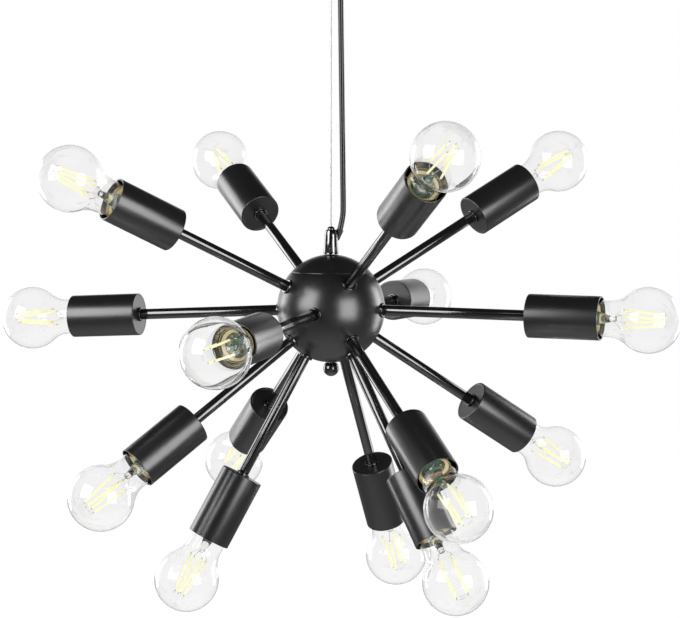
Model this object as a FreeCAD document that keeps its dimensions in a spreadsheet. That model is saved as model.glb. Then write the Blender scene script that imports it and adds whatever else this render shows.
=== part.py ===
import FreeCAD, Part
import math
import os
import re

import Sketcher
from FreeCAD import Placement, Rotation, Vector

# A sputnik chandelier: a hollow ball hangs on a steel wire, and fifteen tubular arms leave it in four
# tiers, each with a cylindrical cup, a lamp holder and a clear filament bulb.
# Millimetres and degrees. The origin is on the ceiling, above the ball, and +Z points up.

# ---------------------------------------------------------------- driving dimensions

SIZES = {
    # where things hang
    "hub_drop": 338,  # ceiling to the ball's centre
    # ball
    "hub_radius": 50.5,
    "hub_wall": 1.2,
    "seam_drop": 17,  # below the ball's top
    "seam_gap": 0.3,
    "lid_lip": 3,  # spigot of the lid inside the shell
    "seat_gap": 0.1,  # clearance of a piece on its seat
    "stem_radius": 4,
    "stem_bore": 2.6,
    "stem_engagement": 5,  # length held in the gripper, and in the finial
    # finial
    "finial_radius": 7.4,
    "finial_drop": 5.7,  # ball's lowest point to the finial's centre
    # arms
    "upper_reach": 176,  # ball's centre to the back of the cup
    "middle_reach": 190,
    "lower_reach": 174,
    "bottom_reach": 176,
    "arm_radius": 5,
    "arm_bore": 4,
    "arm_inside": 7.5,  # length behind the ball's surface
    "arm_thread": 5.5,  # length past the cup's back face
    "collar_radius": 6.9,
    "collar_height": 1.5,
    "cup_collar_radius": 6.6,
    "cup_collar_height": 2.2,
    "nut_flats": 14,
    "nut_height": 3,
    # cups
    "cup_radius": 20,
    "cup_length": 67,
    "cup_wall": 1.2,
    "cup_floor": 1.5,
    "cup_edge": 1.3,  # bevel of the back edge
    # lamp holders
    "holder_radius": 17,
    "holder_length": 55,
    "holder_bore": 13.6,
    "contact_height": 32,  # top of the contact plate, from the back of the cup
    # bulbs
    "bulb_radius": 30,
    "bulb_centre": 110,  # from the back of the cup
    "bulb_neck": 16.5,
    "bulb_shoulder": 26,  # radius of the hollow curve between globe and neck
    "glass_wall": 0.8,
    "cap_radius": 13.2,
    "cap_length": 24.5,
    "cap_flange": 1.2,
    "cap_gap": 0.3,  # clearance of the cap above the contact, and of its flange above the holder
    "cap_tip_radius": 5,
    "cap_taper": 5,
    "press_radius": 5.5,  # glass stem inside the bulb
    "press_top": 2.4,
    "press_height": 22,
    "filament_width": 1.7,
    "filament_thick": 1.1,
    "filament_length": 38,
    "filament_ring": 8.5,  # distance of a filament from the bulb's axis
    "filament_rise": 14,  # top end of a filament above the globe's centre
    "support_thick": 0.7,
    # suspension wire and its gripper
    "wire_radius": 0.75,
    "wire_tail": 20,  # lower end of the wire above the ball's centre
    "gripper_foot": 7.3,
    "gripper_waist": 6.2,
    "gripper_waist_rise": 17,
    "gripper_top": 4.7,
    "gripper_height": 23,
    "gripper_shoulder": 18.8,  # radius of the curve from its waist to its top
    "chamber_rise": 1.3,  # chamber's floor above the stem's socket
    "gripper_chamber": 3.35,
    "gripper_throat": 2.3,
    "throat_height": 2.3,
    "wedge_height": 3,
    "plunger_head": 3.5,
    "plunger_head_height": 1.6,
    "plunger_dome": 2.4,
    "plunger_crown": 3.85,  # radius of the dome's curve
    "plunger_sunk": 1,  # its head's foot below the gripper's top, at rest
    "plunger_travel": 1.8,
    "plunger_bore": 1,
    "running_gap": 0.1,
    "gripping_ball": 0.85,
    "ball_gap": 0.03,
    "spring_radius": 1.9,
    "spring_wire": 0.3,  # half the thickness of its square wire
    "spring_turns": 4,
    # power cord
    "cord_radius": 2.75,
    "cord_side": 20,  # direction of the cord from the wire, seen from above
    "cord_top": 9.4,  # distance from the wire at the canopy
    "relief_tilt": 15.7,  # lean of the strain relief away from the wire
    "relief_out": 8.9,  # its mouth from the wire
    "relief_rise": 22.9,  # its mouth above the gripper's foot
    "relief_length": 10,
    "relief_mouth": 3.5,
    "relief_foot": 1.9,
    "relief_grip": 2.5,  # length of cord inside it
    "cord_entry": 1.5,  # the cord's upper end above the canopy's underside
    # canopy and bracket
    "canopy_radius": 55,
    "canopy_depth": 28,
    "canopy_wall": 1.2,
    "canopy_round": 5,
    "bracket_width": 18,
    "bracket_thick": 1.5,
    "bracket_drop": 8,
    "bracket_plateau": 17,
    "slot_spacing": 72,
    "slot_length": 12,
    "slot_width": 4.8,
    "ear_drop": 14,
    "ear_gap": 0.3,
    "side_screw_depth": 9,
    "side_screw_radius": 1.9,
    "side_screw_head": 3.6,
    "side_screw_dome": 1.8,
    "side_screw_spare": 2,  # its length past the ear
    "wire_holder_radius": 4,
    "wire_holder_bore": 2.5,
    "wire_holder_above": 3.8,  # above the bracket's plateau
    "wire_holder_below": 8,  # below the canopy
    "holder_nose": 3.2,
    "holder_throat": 1.35,
    "holder_mouth": 2.3,
    "mouth_depth": 2.5,
    "wire_ball": 2.2,
    "holder_nut_flats": 13,
    "holder_nut_height": 3,
    "gland_radius": 4.2,
    "gland_end_radius": 3.6,
    "gland_neck": 3,
    "gland_length": 10,
    "gland_flange": 2.4,
    "gland_band": 1,  # straight part of its side under the canopy
    "block_length": 26,
    "block_width": 14,
    "block_height": 11,
    "block_inset": 23,  # its middle from the canopy's front edge
    "block_pitch": 8,
    "block_wire_hole": 1.6,
    "block_screw_hole": 1.8,
    "block_screw_depth": 4,
    "hole_gap": 0.1,  # radial clearance of what passes through a hole
}

# Each arm: tier, number in the tier, azimuth from +X towards +Y, elevation.
ARMS = (
    ("upper", 1, 27, 29),
    ("upper", 2, 117.5, 29.5),
    ("upper", 3, 208, 25),
    ("upper", 4, 292.5, 29),
    ("middle", 1, 71, -0.5),
    ("middle", 2, 165, -2.5),
    ("middle", 3, 252, -4),
    ("middle", 4, 341, -1),
    ("lower", 1, 24, -32),
    ("lower", 2, 116, -36),
    ("lower", 3, 208.5, -35),
    ("lower", 4, 297.5, -34),
    ("bottom", 1, 62, -61.5),
    ("bottom", 2, 190, -61.5),
    ("bottom", 3, 315, -56.5),
)
TIERS = ("upper", "middle", "lower", "bottom")

# Route of the power cord: distance out from the wire, and height above the gripper's foot. It enters
# the gland straight and ends along the axis of its strain relief.
CORD_ROUTE = ((12.1, 48.4), (12.0, 33.9))
GLAND_RUN = 12  # the cord's straight run in the gland, from its upper end

doc = FreeCAD.newDocument("chandelier")
sheet = doc.addObject("Spreadsheet::Sheet", "sizes")
for row, (alias, size) in enumerate(SIZES.items(), start=1):
    sheet.set(f"A{row}", alias)
    sheet.set(f"B{row}", str(size))
    sheet.setAlias(f"B{row}", alias)
doc.recompute()


# ---------------------------------------------------------------- tools of the model


def bound(expression):
    """The expression with every driving dimension read from the sheet."""
    return re.sub(r"[a-z_]+", lambda word: f"sizes.{word[0]}" if word[0] in SIZES else word[0], expression)


def number(expression):
    """The expression's value at the sheet's present sizes."""
    return float(sheet.evalExpression(bound(expression)))


def origin_plane(body, role):
    """A body's own origin plane."""
    return next(feature for feature in body.Origin.OriginFeatures if feature.Role == role)


def new_sketch(body, name, plane):
    """An empty sketch on one of the body's origin planes."""
    sketch = body.newObject("Sketcher::SketchObject", name)
    sketch.AttachmentSupport = [(origin_plane(body, plane), "")]
    sketch.MapMode = "FlatFace"
    return sketch


def arc_between(start, end, radius, side):
    """The short arc from start to end; side 1 bulges to the right of the way there, -1 to the left."""
    chord = end - start
    middle = (start + end) * 0.5
    across = Vector(chord.y, -chord.x, 0).normalize() * side
    depth = math.sqrt(max(radius**2 - (chord.Length / 2) ** 2, 0))
    centre = middle - across * depth
    return Part.Arc(start, centre + across * radius, end)


def outline(sketch, corners, arcs=None):
    """A closed outline through corners, pairs of expressions; arcs maps an edge's number to (radius, side).

    The radius of a half circle is None; its chord stands upright.
    """
    arcs = arcs or {}
    points = [Vector(number(x), number(y), 0) for x, y in corners]
    first = sketch.GeometryCount
    starts = []
    for index, start in enumerate(points):
        end = points[(index + 1) % len(points)]
        if index in arcs:
            radius, side = arcs[index]
            radius = number(radius) if radius else (end - start).Length / 2
            sketch.addGeometry(arc_between(start, end, radius, side))
            # a sketch's arcs run anticlockwise, which is the way that bulges to the right
            starts.append(1 if side == 1 else 2)
        else:
            sketch.addGeometry(Part.LineSegment(start, end))
            starts.append(1)
    for index in range(len(points)):
        after = (index + 1) % len(points)
        link = ("Coincident", first + index, 3 - starts[index], first + after, starts[after])
        sketch.addConstraint(Sketcher.Constraint(*link))
    for index, (x, y) in enumerate(corners):
        for kind, expression in (("DistanceX", x), ("DistanceY", y)):
            place = (kind, -1, 1, first + index, starts[index], number(expression))
            constraint = sketch.addConstraint(Sketcher.Constraint(*place))
            sketch.setExpression(f"Constraints[{constraint}]", bound(expression))
    for index, (radius, _) in arcs.items():
        rule, size = Sketcher.Constraint("Radius", first + index, number(radius or "1")), radius
        if radius is None:
            size = corners[index][0]
            rule = Sketcher.Constraint("DistanceX", -1, 1, first + index, 3, number(size))
        constraint = sketch.addConstraint(rule)
        sketch.setExpression(f"Constraints[{constraint}]", bound(size))


def circle(sketch, x, y, radius):
    """A circle at (x, y), all three given as expressions."""
    centre = Vector(number(x), number(y), 0)
    index = sketch.addGeometry(Part.Circle(centre, Vector(0, 0, 1), number(radius)))
    sizes = (
        (Sketcher.Constraint("Radius", index, number(radius)), radius),
        (Sketcher.Constraint("DistanceX", -1, 1, index, 3, number(x)), x),
        (Sketcher.Constraint("DistanceY", -1, 1, index, 3, number(y)), y),
    )
    for constraint, expression in sizes:
        sketch.setExpression(f"Constraints[{sketch.addConstraint(constraint)}]", bound(expression))


def slot(sketch, x, length, width):
    """A slot with round ends along the sketch's X axis, centred at (x, 0)."""
    straight = f"({length} - {width}) / 2"
    corners = (
        (f"{x} - {straight}", f"-{width} / 2"),
        (f"{x} + {straight}", f"-{width} / 2"),
        (f"{x} + {straight}", f"{width} / 2"),
        (f"{x} - {straight}", f"{width} / 2"),
    )
    outline(sketch, corners, {1: (None, 1), 3: (None, 1)})


def turned(label, corners, arcs=None):
    """A body turned about its Z axis from an outline of (radius, height)."""
    body = doc.addObject("PartDesign::Body", label)
    sketch = new_sketch(body, f"{label}_outline", "XZ_Plane")
    outline(sketch, corners, arcs)
    turn = body.newObject("PartDesign::Revolution", f"{label}_turn")
    turn.Profile = (sketch, [""])
    turn.ReferenceAxis = (sketch, ["V_Axis"])
    turn.Angle = 360
    return body


def padded(body, sketch, length, midplane=False):
    """A pad of the sketch."""
    pad = body.newObject("PartDesign::Pad", f"{sketch.Name}_pad")
    pad.Profile = (sketch, [""])
    pad.Midplane = midplane
    pad.setExpression("Length", bound(length))
    return pad


def pocketed(body, sketch, length, midplane=True):
    """A pocket of the sketch, to both sides of its plane unless told otherwise."""
    pocket = body.newObject("PartDesign::Pocket", f"{sketch.Name}_pocket")
    pocket.Profile = (sketch, [""])
    pocket.Midplane = midplane
    pocket.setExpression("Length", bound(length))
    return pocket


def lifted(sketch, height):
    """Moves a sketch along the normal of its plane."""
    sketch.setExpression("AttachmentOffset.Base.z", bound(height))


def tube(label, outer, inner, start, length):
    """A plain tube along Z."""
    body = doc.addObject("PartDesign::Body", label)
    sketch = new_sketch(body, f"{label}_ring", "XY_Plane")
    circle(sketch, "0", "0", outer)
    circle(sketch, "0", "0", inner)
    lifted(sketch, start)
    padded(body, sketch, length)
    return body


def hexagon_nut(label, flats, bore, start, height):
    """A hexagon nut along Z."""
    body = doc.addObject("PartDesign::Body", label)
    sketch = new_sketch(body, f"{label}_hexagon", "XY_Plane")
    across = f"{flats} / sqrt(3)"
    corners = [(f"{across} * cos({60 * k} deg)", f"{across} * sin({60 * k} deg)") for k in range(6)]
    outline(sketch, corners)
    circle(sketch, "0", "0", bore)
    lifted(sketch, start)
    padded(body, sketch, height)
    return body


def placed(master, label, placement):
    """Another one of the master piece, set in its own place."""
    link = doc.addObject("App::Link", label)
    link.LinkedObject = master
    link.Placement = placement
    return link


def grouped(label, pieces):
    """Alike pieces under one name."""
    group = doc.addObject("Part::Compound", label)
    group.Links = pieces
    return group


def subtracted(label, base, tools):
    """The base without the tools."""
    cutters = tools[0]
    if len(tools) > 1:
        cutters = grouped(f"{label}_cutters", tools)
    cut = doc.addObject("Part::Cut", label)
    cut.Base = base
    cut.Tool = cutters
    return cut


HUB_CENTRE = Vector(0, 0, -number("hub_drop"))
HUB = Placement(HUB_CENTRE, Rotation())
UP = Vector(0, 0, 1)


def direction(arm):
    """The unit vector along an arm."""
    azimuth, elevation = math.radians(arm[2]), math.radians(arm[3])
    level = math.cos(elevation)
    return Vector(level * math.cos(azimuth), level * math.sin(azimuth), math.sin(elevation))


def from_hub(arm):
    """The place of a piece on an arm whose own origin is the ball's centre."""
    return Placement(HUB_CENTRE, Rotation(UP, direction(arm)))


def from_cup(arm):
    """The place of a piece on an arm whose own origin is the back of the cup."""
    reach = number(f"{arm[0]}_reach")
    return Placement(HUB_CENTRE + direction(arm) * reach, Rotation(UP, direction(arm)))


def arm_name(arm):
    """The arm's tier and number, which end the names of its pieces."""
    return f"{arm[0]}_{arm[1]}"


kept = []


def keep(piece, label):
    """Lists the piece as one of the chandelier's own, under its name."""
    piece.Label = label
    kept.append(piece)
    return piece


def keep_on_arms(label, master, place):
    """Fifteen of one small piece under one name, one on each arm."""
    pieces = [placed(master, f"{label}_{arm_name(arm)}", place(arm)) for arm in ARMS]
    keep(grouped(f"{label}_group", pieces), label)


# ---------------------------------------------------------------- ceiling bracket
# A strip of steel bent like a hat, with two slots for the ceiling's screws and two ears for the
# canopy's side screws.

ear = "(sqrt((canopy_radius - canopy_wall) ^ 2 - (bracket_width / 2) ^ 2) - ear_gap)"
bend = "(sqrt(2) - 1) * bracket_thick"
foot = "bracket_plateau + bracket_drop"
right_side = [
    ("bracket_plateau", "-bracket_drop"),
    (foot, "0"),
    (ear, "0"),
    (ear, "-ear_drop"),
    (f"{ear} - bracket_thick", "-ear_drop"),
    (f"{ear} - bracket_thick", "-bracket_thick"),
    (f"{foot} + {bend}", "-bracket_thick"),
    (f"bracket_plateau + {bend}", "-bracket_drop - bracket_thick"),
]
left_side = [(f"-({x})", y) for x, y in reversed(right_side)]
bracket = doc.addObject("PartDesign::Body", "bracket_body")
strip = new_sketch(bracket, "bracket_strip", "XZ_Plane")
outline(strip, right_side + left_side)
padded(bracket, strip, "bracket_width", midplane=True)
holes = new_sketch(bracket, "bracket_holes", "XY_Plane")
circle(holes, "0", "0", "wire_holder_radius + hole_gap")
slot(holes, "slot_spacing / 2", "slot_length", "slot_width")
slot(holes, "-slot_spacing / 2", "slot_length", "slot_width")
pocketed(bracket, holes, "4 * bracket_drop")
ear_holes = new_sketch(bracket, "ear_holes", "YZ_Plane")
circle(ear_holes, "0", "-side_screw_depth", "side_screw_radius + hole_gap")
pocketed(bracket, ear_holes, "4 * canopy_radius")
keep(bracket, "ceiling_bracket")

# ---------------------------------------------------------------- canopy

gland_x = "cord_top * cos(cord_side * 1 deg)"
gland_y = "cord_top * sin(cord_side * 1 deg)"
canopy = turned(
    "canopy_body",
    (
        ("wire_holder_radius + hole_gap", "-canopy_depth"),
        ("canopy_radius - canopy_round", "-canopy_depth"),
        ("canopy_radius", "-canopy_depth + canopy_round"),
        ("canopy_radius", "0"),
        ("canopy_radius - canopy_wall", "0"),
        ("canopy_radius - canopy_wall", "-canopy_depth + canopy_round"),
        ("canopy_radius - canopy_round", "-canopy_depth + canopy_wall"),
        ("wire_holder_radius + hole_gap", "-canopy_depth + canopy_wall"),
    ),
    {1: ("canopy_round", 1)},
)
gland_hole = new_sketch(canopy, "gland_hole", "XY_Plane")
circle(gland_hole, gland_x, gland_y, "gland_neck + hole_gap")
pocketed(canopy, gland_hole, "3 * canopy_depth")
side_holes = new_sketch(canopy, "side_holes", "YZ_Plane")
circle(side_holes, "0", "-side_screw_depth", "side_screw_radius + hole_gap")
pocketed(canopy, side_holes, "4 * canopy_radius")
keep(canopy, "ceiling_canopy")

# ---------------------------------------------------------------- canopy's side screws

side_screw_end = f"{ear} - bracket_thick - side_screw_spare - canopy_radius"
side_screw = turned(
    "side_screw",
    (
        ("0", side_screw_end),
        ("side_screw_radius", side_screw_end),
        ("side_screw_radius", "0"),
        ("side_screw_head", "0"),
        ("0", "side_screw_dome"),
    ),
    {3: ("(side_screw_head ^ 2 + side_screw_dome ^ 2) / (2 * side_screw_dome)", 1)},
)
side_screws = []
for side in (1, -1):
    spot = Vector(side * number("canopy_radius"), 0, -number("side_screw_depth"))
    outwards = Rotation(UP, Vector(side, 0, 0))
    side_screws.append(placed(side_screw, f"side_screw_{len(side_screws) + 1}", Placement(spot, outwards)))
keep(grouped("side_screw_pair", side_screws), "canopy_screws")

# ---------------------------------------------------------------- wire holder, its nuts and the wire's ball end
# A hollow threaded stud. The ball end of the wire drops in from above and rests on a cone, and the
# mouth below flares, so that the wire can lean.

holder_top = "-bracket_drop + wire_holder_above"
holder_end = "-canopy_depth - wire_holder_below"
throat = f"{holder_end} + mouth_depth"
wire_holder = turned(
    "wire_holder_body",
    (
        ("holder_mouth", holder_end),
        ("holder_nose", holder_end),
        ("wire_holder_radius", throat),
        ("wire_holder_radius", holder_top),
        ("wire_holder_bore", holder_top),
        ("wire_holder_bore", f"{throat} + wire_holder_bore - holder_throat"),
        ("holder_throat", throat),
    ),
)
keep(wire_holder, "wire_holder")
nut_bore = "wire_holder_radius + hole_gap"
nuts = [
    hexagon_nut("upper_lock_nut", "holder_nut_flats", nut_bore, "-bracket_drop", "holder_nut_height"),
    hexagon_nut(
        "lower_lock_nut",
        "holder_nut_flats",
        nut_bore,
        "-bracket_drop - bracket_thick - holder_nut_height",
        "holder_nut_height",
    ),
]
keep(grouped("lock_nut_pair", nuts), "holder_lock_nuts")

# the ball rests on a cone of 45 degrees, so it stands sqrt(2) of its radius above the cone's point
swing_height = f"{throat} - holder_throat + sqrt(2) * (wire_ball + ball_gap)"
wire_end = turned(
    "wire_end_body",
    (("0", f"{swing_height} - wire_ball"), ("0", f"{swing_height} + wire_ball")),
    {0: (None, 1)},
)
keep(wire_end, "wire_ball_end")

wire = doc.addObject("PartDesign::Body", "wire_body")
wire_section = new_sketch(wire, "wire_section", "XY_Plane")
circle(wire_section, "0", "0", "wire_radius")
lifted(wire_section, "-hub_drop + wire_tail")
padded(wire, wire_section, f"{swing_height} - wire_ball - ball_gap + hub_drop - wire_tail")
keep(wire, "suspension_wire")

# ---------------------------------------------------------------- cord gland and terminal block

gland = turned(
    "gland_body",
    (
        ("cord_radius + hole_gap", "-canopy_depth - gland_length"),
        ("gland_end_radius", "-canopy_depth - gland_length"),
        ("gland_radius", "-canopy_depth - gland_band"),
        ("gland_radius", "-canopy_depth"),
        ("gland_neck", "-canopy_depth"),
        ("gland_neck", "-canopy_depth + canopy_wall"),
        ("gland_radius", "-canopy_depth + canopy_wall"),
        ("gland_radius", "-canopy_depth + canopy_wall + gland_flange"),
        ("cord_radius + hole_gap", "-canopy_depth + canopy_wall + gland_flange"),
    ),
)
gland.setExpression("Placement.Base.x", bound(gland_x))
gland.setExpression("Placement.Base.y", bound(gland_y))
keep(gland, "canopy_cord_gland")

block = doc.addObject("PartDesign::Body", "block_body")
block_base = new_sketch(block, "block_base", "XY_Plane")
half_length, half_width = "block_length / 2", "block_width / 2"
block_corners = (
    (f"-{half_length}", f"-{half_width}"),
    (half_length, f"-{half_width}"),
    (half_length, half_width),
    (f"-{half_length}", half_width),
)
outline(block_base, block_corners)
padded(block, block_base, "block_height")
wire_holes = new_sketch(block, "block_wire_holes", "XZ_Plane")
for way in (-1, 0, 1):
    circle(wire_holes, f"{way} * block_pitch", "block_height / 2", "block_wire_hole")
pocketed(block, wire_holes, "2 * block_width")
screw_wells = new_sketch(block, "block_screw_wells", "XY_Plane")
for way in (-1, 0, 1):
    for row in (-1, 1):
        circle(screw_wells, f"{way} * block_pitch", f"{row} * block_width / 4", "block_screw_hole")
lifted(screw_wells, "block_height")
pocketed(block, screw_wells, "block_screw_depth", midplane=False)
block.setExpression("Placement.Base.y", bound("block_inset - canopy_radius"))
block.setExpression("Placement.Base.z", bound("-canopy_depth + canopy_wall"))
keep(block, "terminal_block")

# ---------------------------------------------------------------- ball: lid, shell and stem

inner = "(hub_radius - hub_wall)"
pole = "(stem_radius + hole_gap)"
lid_rim = "(hub_radius - seam_drop + seam_gap / 2)"
shell_rim = "(hub_radius - seam_drop - seam_gap / 2)"
lip_outer = f"(sqrt({inner} ^ 2 - {lid_rim} ^ 2) - hub_wall)"
lip_inner = f"({lip_outer} - hub_wall)"
lid = turned(
    "lid_body",
    (
        (pole, f"sqrt(hub_radius ^ 2 - {pole} ^ 2)"),
        (pole, f"sqrt({inner} ^ 2 - {pole} ^ 2)"),
        (lip_inner, f"sqrt({inner} ^ 2 - {lip_inner} ^ 2)"),
        (lip_inner, f"{lid_rim} - lid_lip"),
        (lip_outer, f"{lid_rim} - lid_lip"),
        (lip_outer, lid_rim),
        (f"sqrt(hub_radius ^ 2 - {lid_rim} ^ 2)", lid_rim),
    ),
    {1: (inner, -1), 6: ("hub_radius", 1)},
)
lid.Placement = HUB
keep(lid, "hub_lid")

shell = turned(
    "shell_body",
    (
        (pole, f"-sqrt(hub_radius ^ 2 - {pole} ^ 2)"),
        (f"sqrt(hub_radius ^ 2 - {shell_rim} ^ 2)", shell_rim),
        (f"sqrt({inner} ^ 2 - {shell_rim} ^ 2)", shell_rim),
        (pole, f"-sqrt({inner} ^ 2 - {pole} ^ 2)"),
    ),
    {0: ("hub_radius", 1), 2: (inner, -1)},
)
shell.Placement = HUB
drill = doc.addObject("PartDesign::Body", "arm_drill")
drill_section = new_sketch(drill, "drill_section", "XY_Plane")
circle(drill_section, "0", "0", "arm_radius + hole_gap")
lifted(drill_section, "hub_radius - arm_inside")
padded(drill, drill_section, "2 * arm_inside")
drills = [placed(drill, f"arm_drill_{arm_name(arm)}", from_hub(arm)) for arm in ARMS]
keep(subtracted("drilled_shell", shell, drills), "hub_shell")

stem_foot = "-hub_radius - stem_engagement + seat_gap"
stem = tube(
    "stem_body",
    "stem_radius",
    "stem_bore",
    stem_foot,
    "2 * (hub_radius + stem_engagement - seat_gap)",
)
stem.Placement = HUB
keep(stem, "hub_stem")

finial_height = "(-hub_radius - finial_drop)"
finial_top = "(-hub_radius - seat_gap)"
finial = turned(
    "finial_body",
    (
        ("0", f"{finial_height} - finial_radius"),
        (f"sqrt(finial_radius ^ 2 - ({finial_top} - {finial_height}) ^ 2)", finial_top),
        ("stem_radius + hole_gap", finial_top),
        ("stem_radius + hole_gap", f"{stem_foot} - seat_gap"),
        ("0", f"{stem_foot} - seat_gap"),
    ),
    {0: ("finial_radius", 1)},
)
finial.Placement = HUB
keep(finial, "finial_ball")

# ---------------------------------------------------------------- gripper on the wire
# Three balls wedge between the wire and a cone that narrows upwards, so the lamp can be pushed up the
# wire but doesn't slide down it. The plunger on top pushes the balls free, and the spring lifts them.

base = "(hub_radius + seat_gap)"
top = f"({base} + gripper_height)"
waist = f"({base} + gripper_waist_rise)"
counterbore = f"({top} - plunger_sunk - plunger_travel - running_gap)"
throat_foot = f"({counterbore} - throat_height)"
wedge_foot = f"({throat_foot} - wedge_height)"
socket = f"({base} + stem_engagement + seat_gap)"
chamber_floor = f"({socket} + chamber_rise)"
shoulder_radius = "gripper_shoulder"
gripper_corners = [
    ("gripper_foot", base),
    ("gripper_waist", waist),
    ("gripper_top", top),
]
gripper_arcs = {1: (shoulder_radius, 1)}
gripper = turned(
    "gripper_body",
    [
        *gripper_corners,
        ("plunger_head + running_gap", top),
        ("plunger_head + running_gap", counterbore),
        ("gripper_throat", counterbore),
        ("gripper_throat", throat_foot),
        ("gripper_chamber", wedge_foot),
        ("gripper_chamber", chamber_floor),
        ("plunger_bore", chamber_floor),
        ("plunger_bore", socket),
        ("stem_radius + hole_gap", socket),
        ("stem_radius + hole_gap", base),
    ],
    gripper_arcs,
)
gripper.Placement = HUB
keep(gripper, "gripper_body")

ball_ring = "(wire_radius + gripping_ball + ball_gap)"
wedge_slope = "((gripper_chamber - gripper_throat) / wedge_height)"
# height at which the ball, with its clearance, touches the cone
ball_height = (
    f"({throat_foot} - ({ball_ring} - gripper_throat"
    f" + (gripping_ball + ball_gap) * sqrt(1 + {wedge_slope} ^ 2)) / {wedge_slope})"
)
gripping_ball = turned(
    "gripping_ball",
    (("0", "-gripping_ball"), ("0", "gripping_ball")),
    {0: (None, 1)},
)
gripping_balls = []
for turn in (0, 120, 240):
    around = Vector(math.cos(math.radians(turn)), math.sin(math.radians(turn)), 0)
    spot = HUB_CENTRE + around * number(ball_ring) + UP * number(ball_height)
    gripping_balls.append(placed(gripping_ball, f"gripping_ball_{turn}", Placement(spot, Rotation())))
keep(grouped("gripping_ball_ring", gripping_balls), "gripper_balls")

sleeve_foot = f"({ball_height} + gripping_ball + ball_gap)"
head_foot = f"({counterbore} + plunger_travel + running_gap)"
head_edge = f"({head_foot} + plunger_head_height)"
plunger = turned(
    "plunger_body",
    (
        ("plunger_bore", sleeve_foot),
        ("gripper_throat - running_gap", sleeve_foot),
        ("gripper_throat - running_gap", head_foot),
        ("plunger_head", head_foot),
        ("plunger_head", head_edge),
        ("plunger_bore", f"{head_edge} + plunger_dome"),
    ),
    {4: ("plunger_crown", 1)},
)
plunger.Placement = HUB
keep(plunger, "gripper_plunger")

spring_foot = f"({chamber_floor} + spring_wire + seat_gap)"
spring_rise = f"({ball_height} - gripping_ball - seat_gap - spring_wire - {spring_foot})"
spring = doc.addObject("PartDesign::Body", "spring_body")
spring_section = new_sketch(spring, "spring_section", "XZ_Plane")
spring_inside, spring_outside = "spring_radius - spring_wire", "spring_radius + spring_wire"
outline(
    spring_section,
    (
        (spring_inside, f"{spring_foot} - spring_wire"),
        (spring_outside, f"{spring_foot} - spring_wire"),
        (spring_outside, f"{spring_foot} + spring_wire"),
        (spring_inside, f"{spring_foot} + spring_wire"),
    ),
)
coil = spring.newObject("PartDesign::AdditiveHelix", "spring_coil")
coil.Profile = (spring_section, [""])
coil.ReferenceAxis = (spring_section, ["V_Axis"])
coil.Mode = "height-turns-angle"
coil.setExpression("Height", bound(spring_rise))
coil.setExpression("Turns", bound("spring_turns"))
spring.Placement = HUB
keep(spring, "gripper_spring")

# ---------------------------------------------------------------- strain relief and power cord
# The cord runs in one upright plane through the wire, turned by cord_side about it.

side = math.radians(number("cord_side"))
tilt = math.radians(number("relief_tilt"))
OUT = Vector(math.cos(side), math.sin(side), 0)
relief_axis = OUT * math.sin(tilt) + UP * math.cos(tilt)
gripper_seat = HUB_CENTRE + UP * number(base)
mouth = gripper_seat + OUT * number("relief_out") + UP * number("relief_rise")

relief_blank = turned(
    "relief_blank",
    (
        ("0", "-relief_length"),
        ("relief_foot", "-relief_length"),
        ("relief_mouth", "0"),
        ("cord_radius + hole_gap", "0"),
        ("cord_radius + hole_gap", "-relief_grip - hole_gap"),
        ("0", "-relief_grip - hole_gap"),
    ),
)
relief_blank.Placement = Placement(mouth, Rotation(UP, relief_axis))
# what the gripper's body takes out of it, so that it sits on the body's side
gripper_room = turned(
    "gripper_room",
    (
        ("0", base),
        ("gripper_foot + seat_gap", base),
        ("gripper_waist + seat_gap", waist),
        ("gripper_top + seat_gap", top),
        ("0", top),
    ),
    {2: (shoulder_radius, 1)},
)
gripper_room.Placement = HUB
keep(subtracted("seated_relief", relief_blank, [gripper_room]), "cord_strain_relief")


def cord_path(points):
    """Straight runs joined by arcs as large as their runs allow, and the arcs' radii."""
    edges, radii = [], []
    start = points[0]
    for before, corner, after in zip(points, points[1:], points[2:]):
        into, out = corner - before, after - corner
        turn = into.getAngle(out)
        reach = 0.45 * min(into.Length, out.Length)
        radii.append(reach / math.tan(turn / 2))
        arc_start = corner - into.normalize() * reach
        arc_end = corner + out.normalize() * reach
        inward = (arc_start + arc_end) * 0.5 - corner
        middle = corner + inward.normalize() * (radii[-1] / math.cos(turn / 2) - radii[-1])
        edges.append(Part.LineSegment(start, arc_start).toShape())
        edges.append(Part.Arc(arc_start, middle, arc_end).toShape())
        start = arc_end
    edges.append(Part.LineSegment(start, points[-1]).toShape())
    return Part.Wire(edges), radii


def cord_solid(wire_path, start, towards, radius):
    """A round cord along the path."""
    section = Part.Wire([Part.Circle(start, towards, radius).toShape()])
    return wire_path.makePipeShell([section], True, True)


canopy_floor = HUB_CENTRE + UP * number("hub_drop - canopy_depth")
cord_start = canopy_floor + OUT * number("cord_top") + UP * number("cord_entry")
cord_points = [cord_start, cord_start - UP * GLAND_RUN]
cord_points += [gripper_seat + OUT * out + UP * rise for out, rise in CORD_ROUTE]
cord_points.append(mouth - relief_axis * number("relief_grip"))
cord_line, cord_radii = cord_path(cord_points)
cord = doc.addObject("Part::Feature", "cord_feature")
cord.Shape = cord_solid(cord_line, cord_start, -UP, number("cord_radius"))
keep(cord, "power_cord")

print("cord points", [tuple(round(value, 2) for value in point) for point in cord_points])
print("cord length", round(cord_line.Length, 1), "bend radii", [round(radius, 1) for radius in cord_radii])
cord_volume = math.pi * number("cord_radius") ** 2 * cord_line.Length
print("cord volume over section times length", round(cord.Shape.Volume / cord_volume, 4))

# ---------------------------------------------------------------- arms and what holds them in the ball

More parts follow.
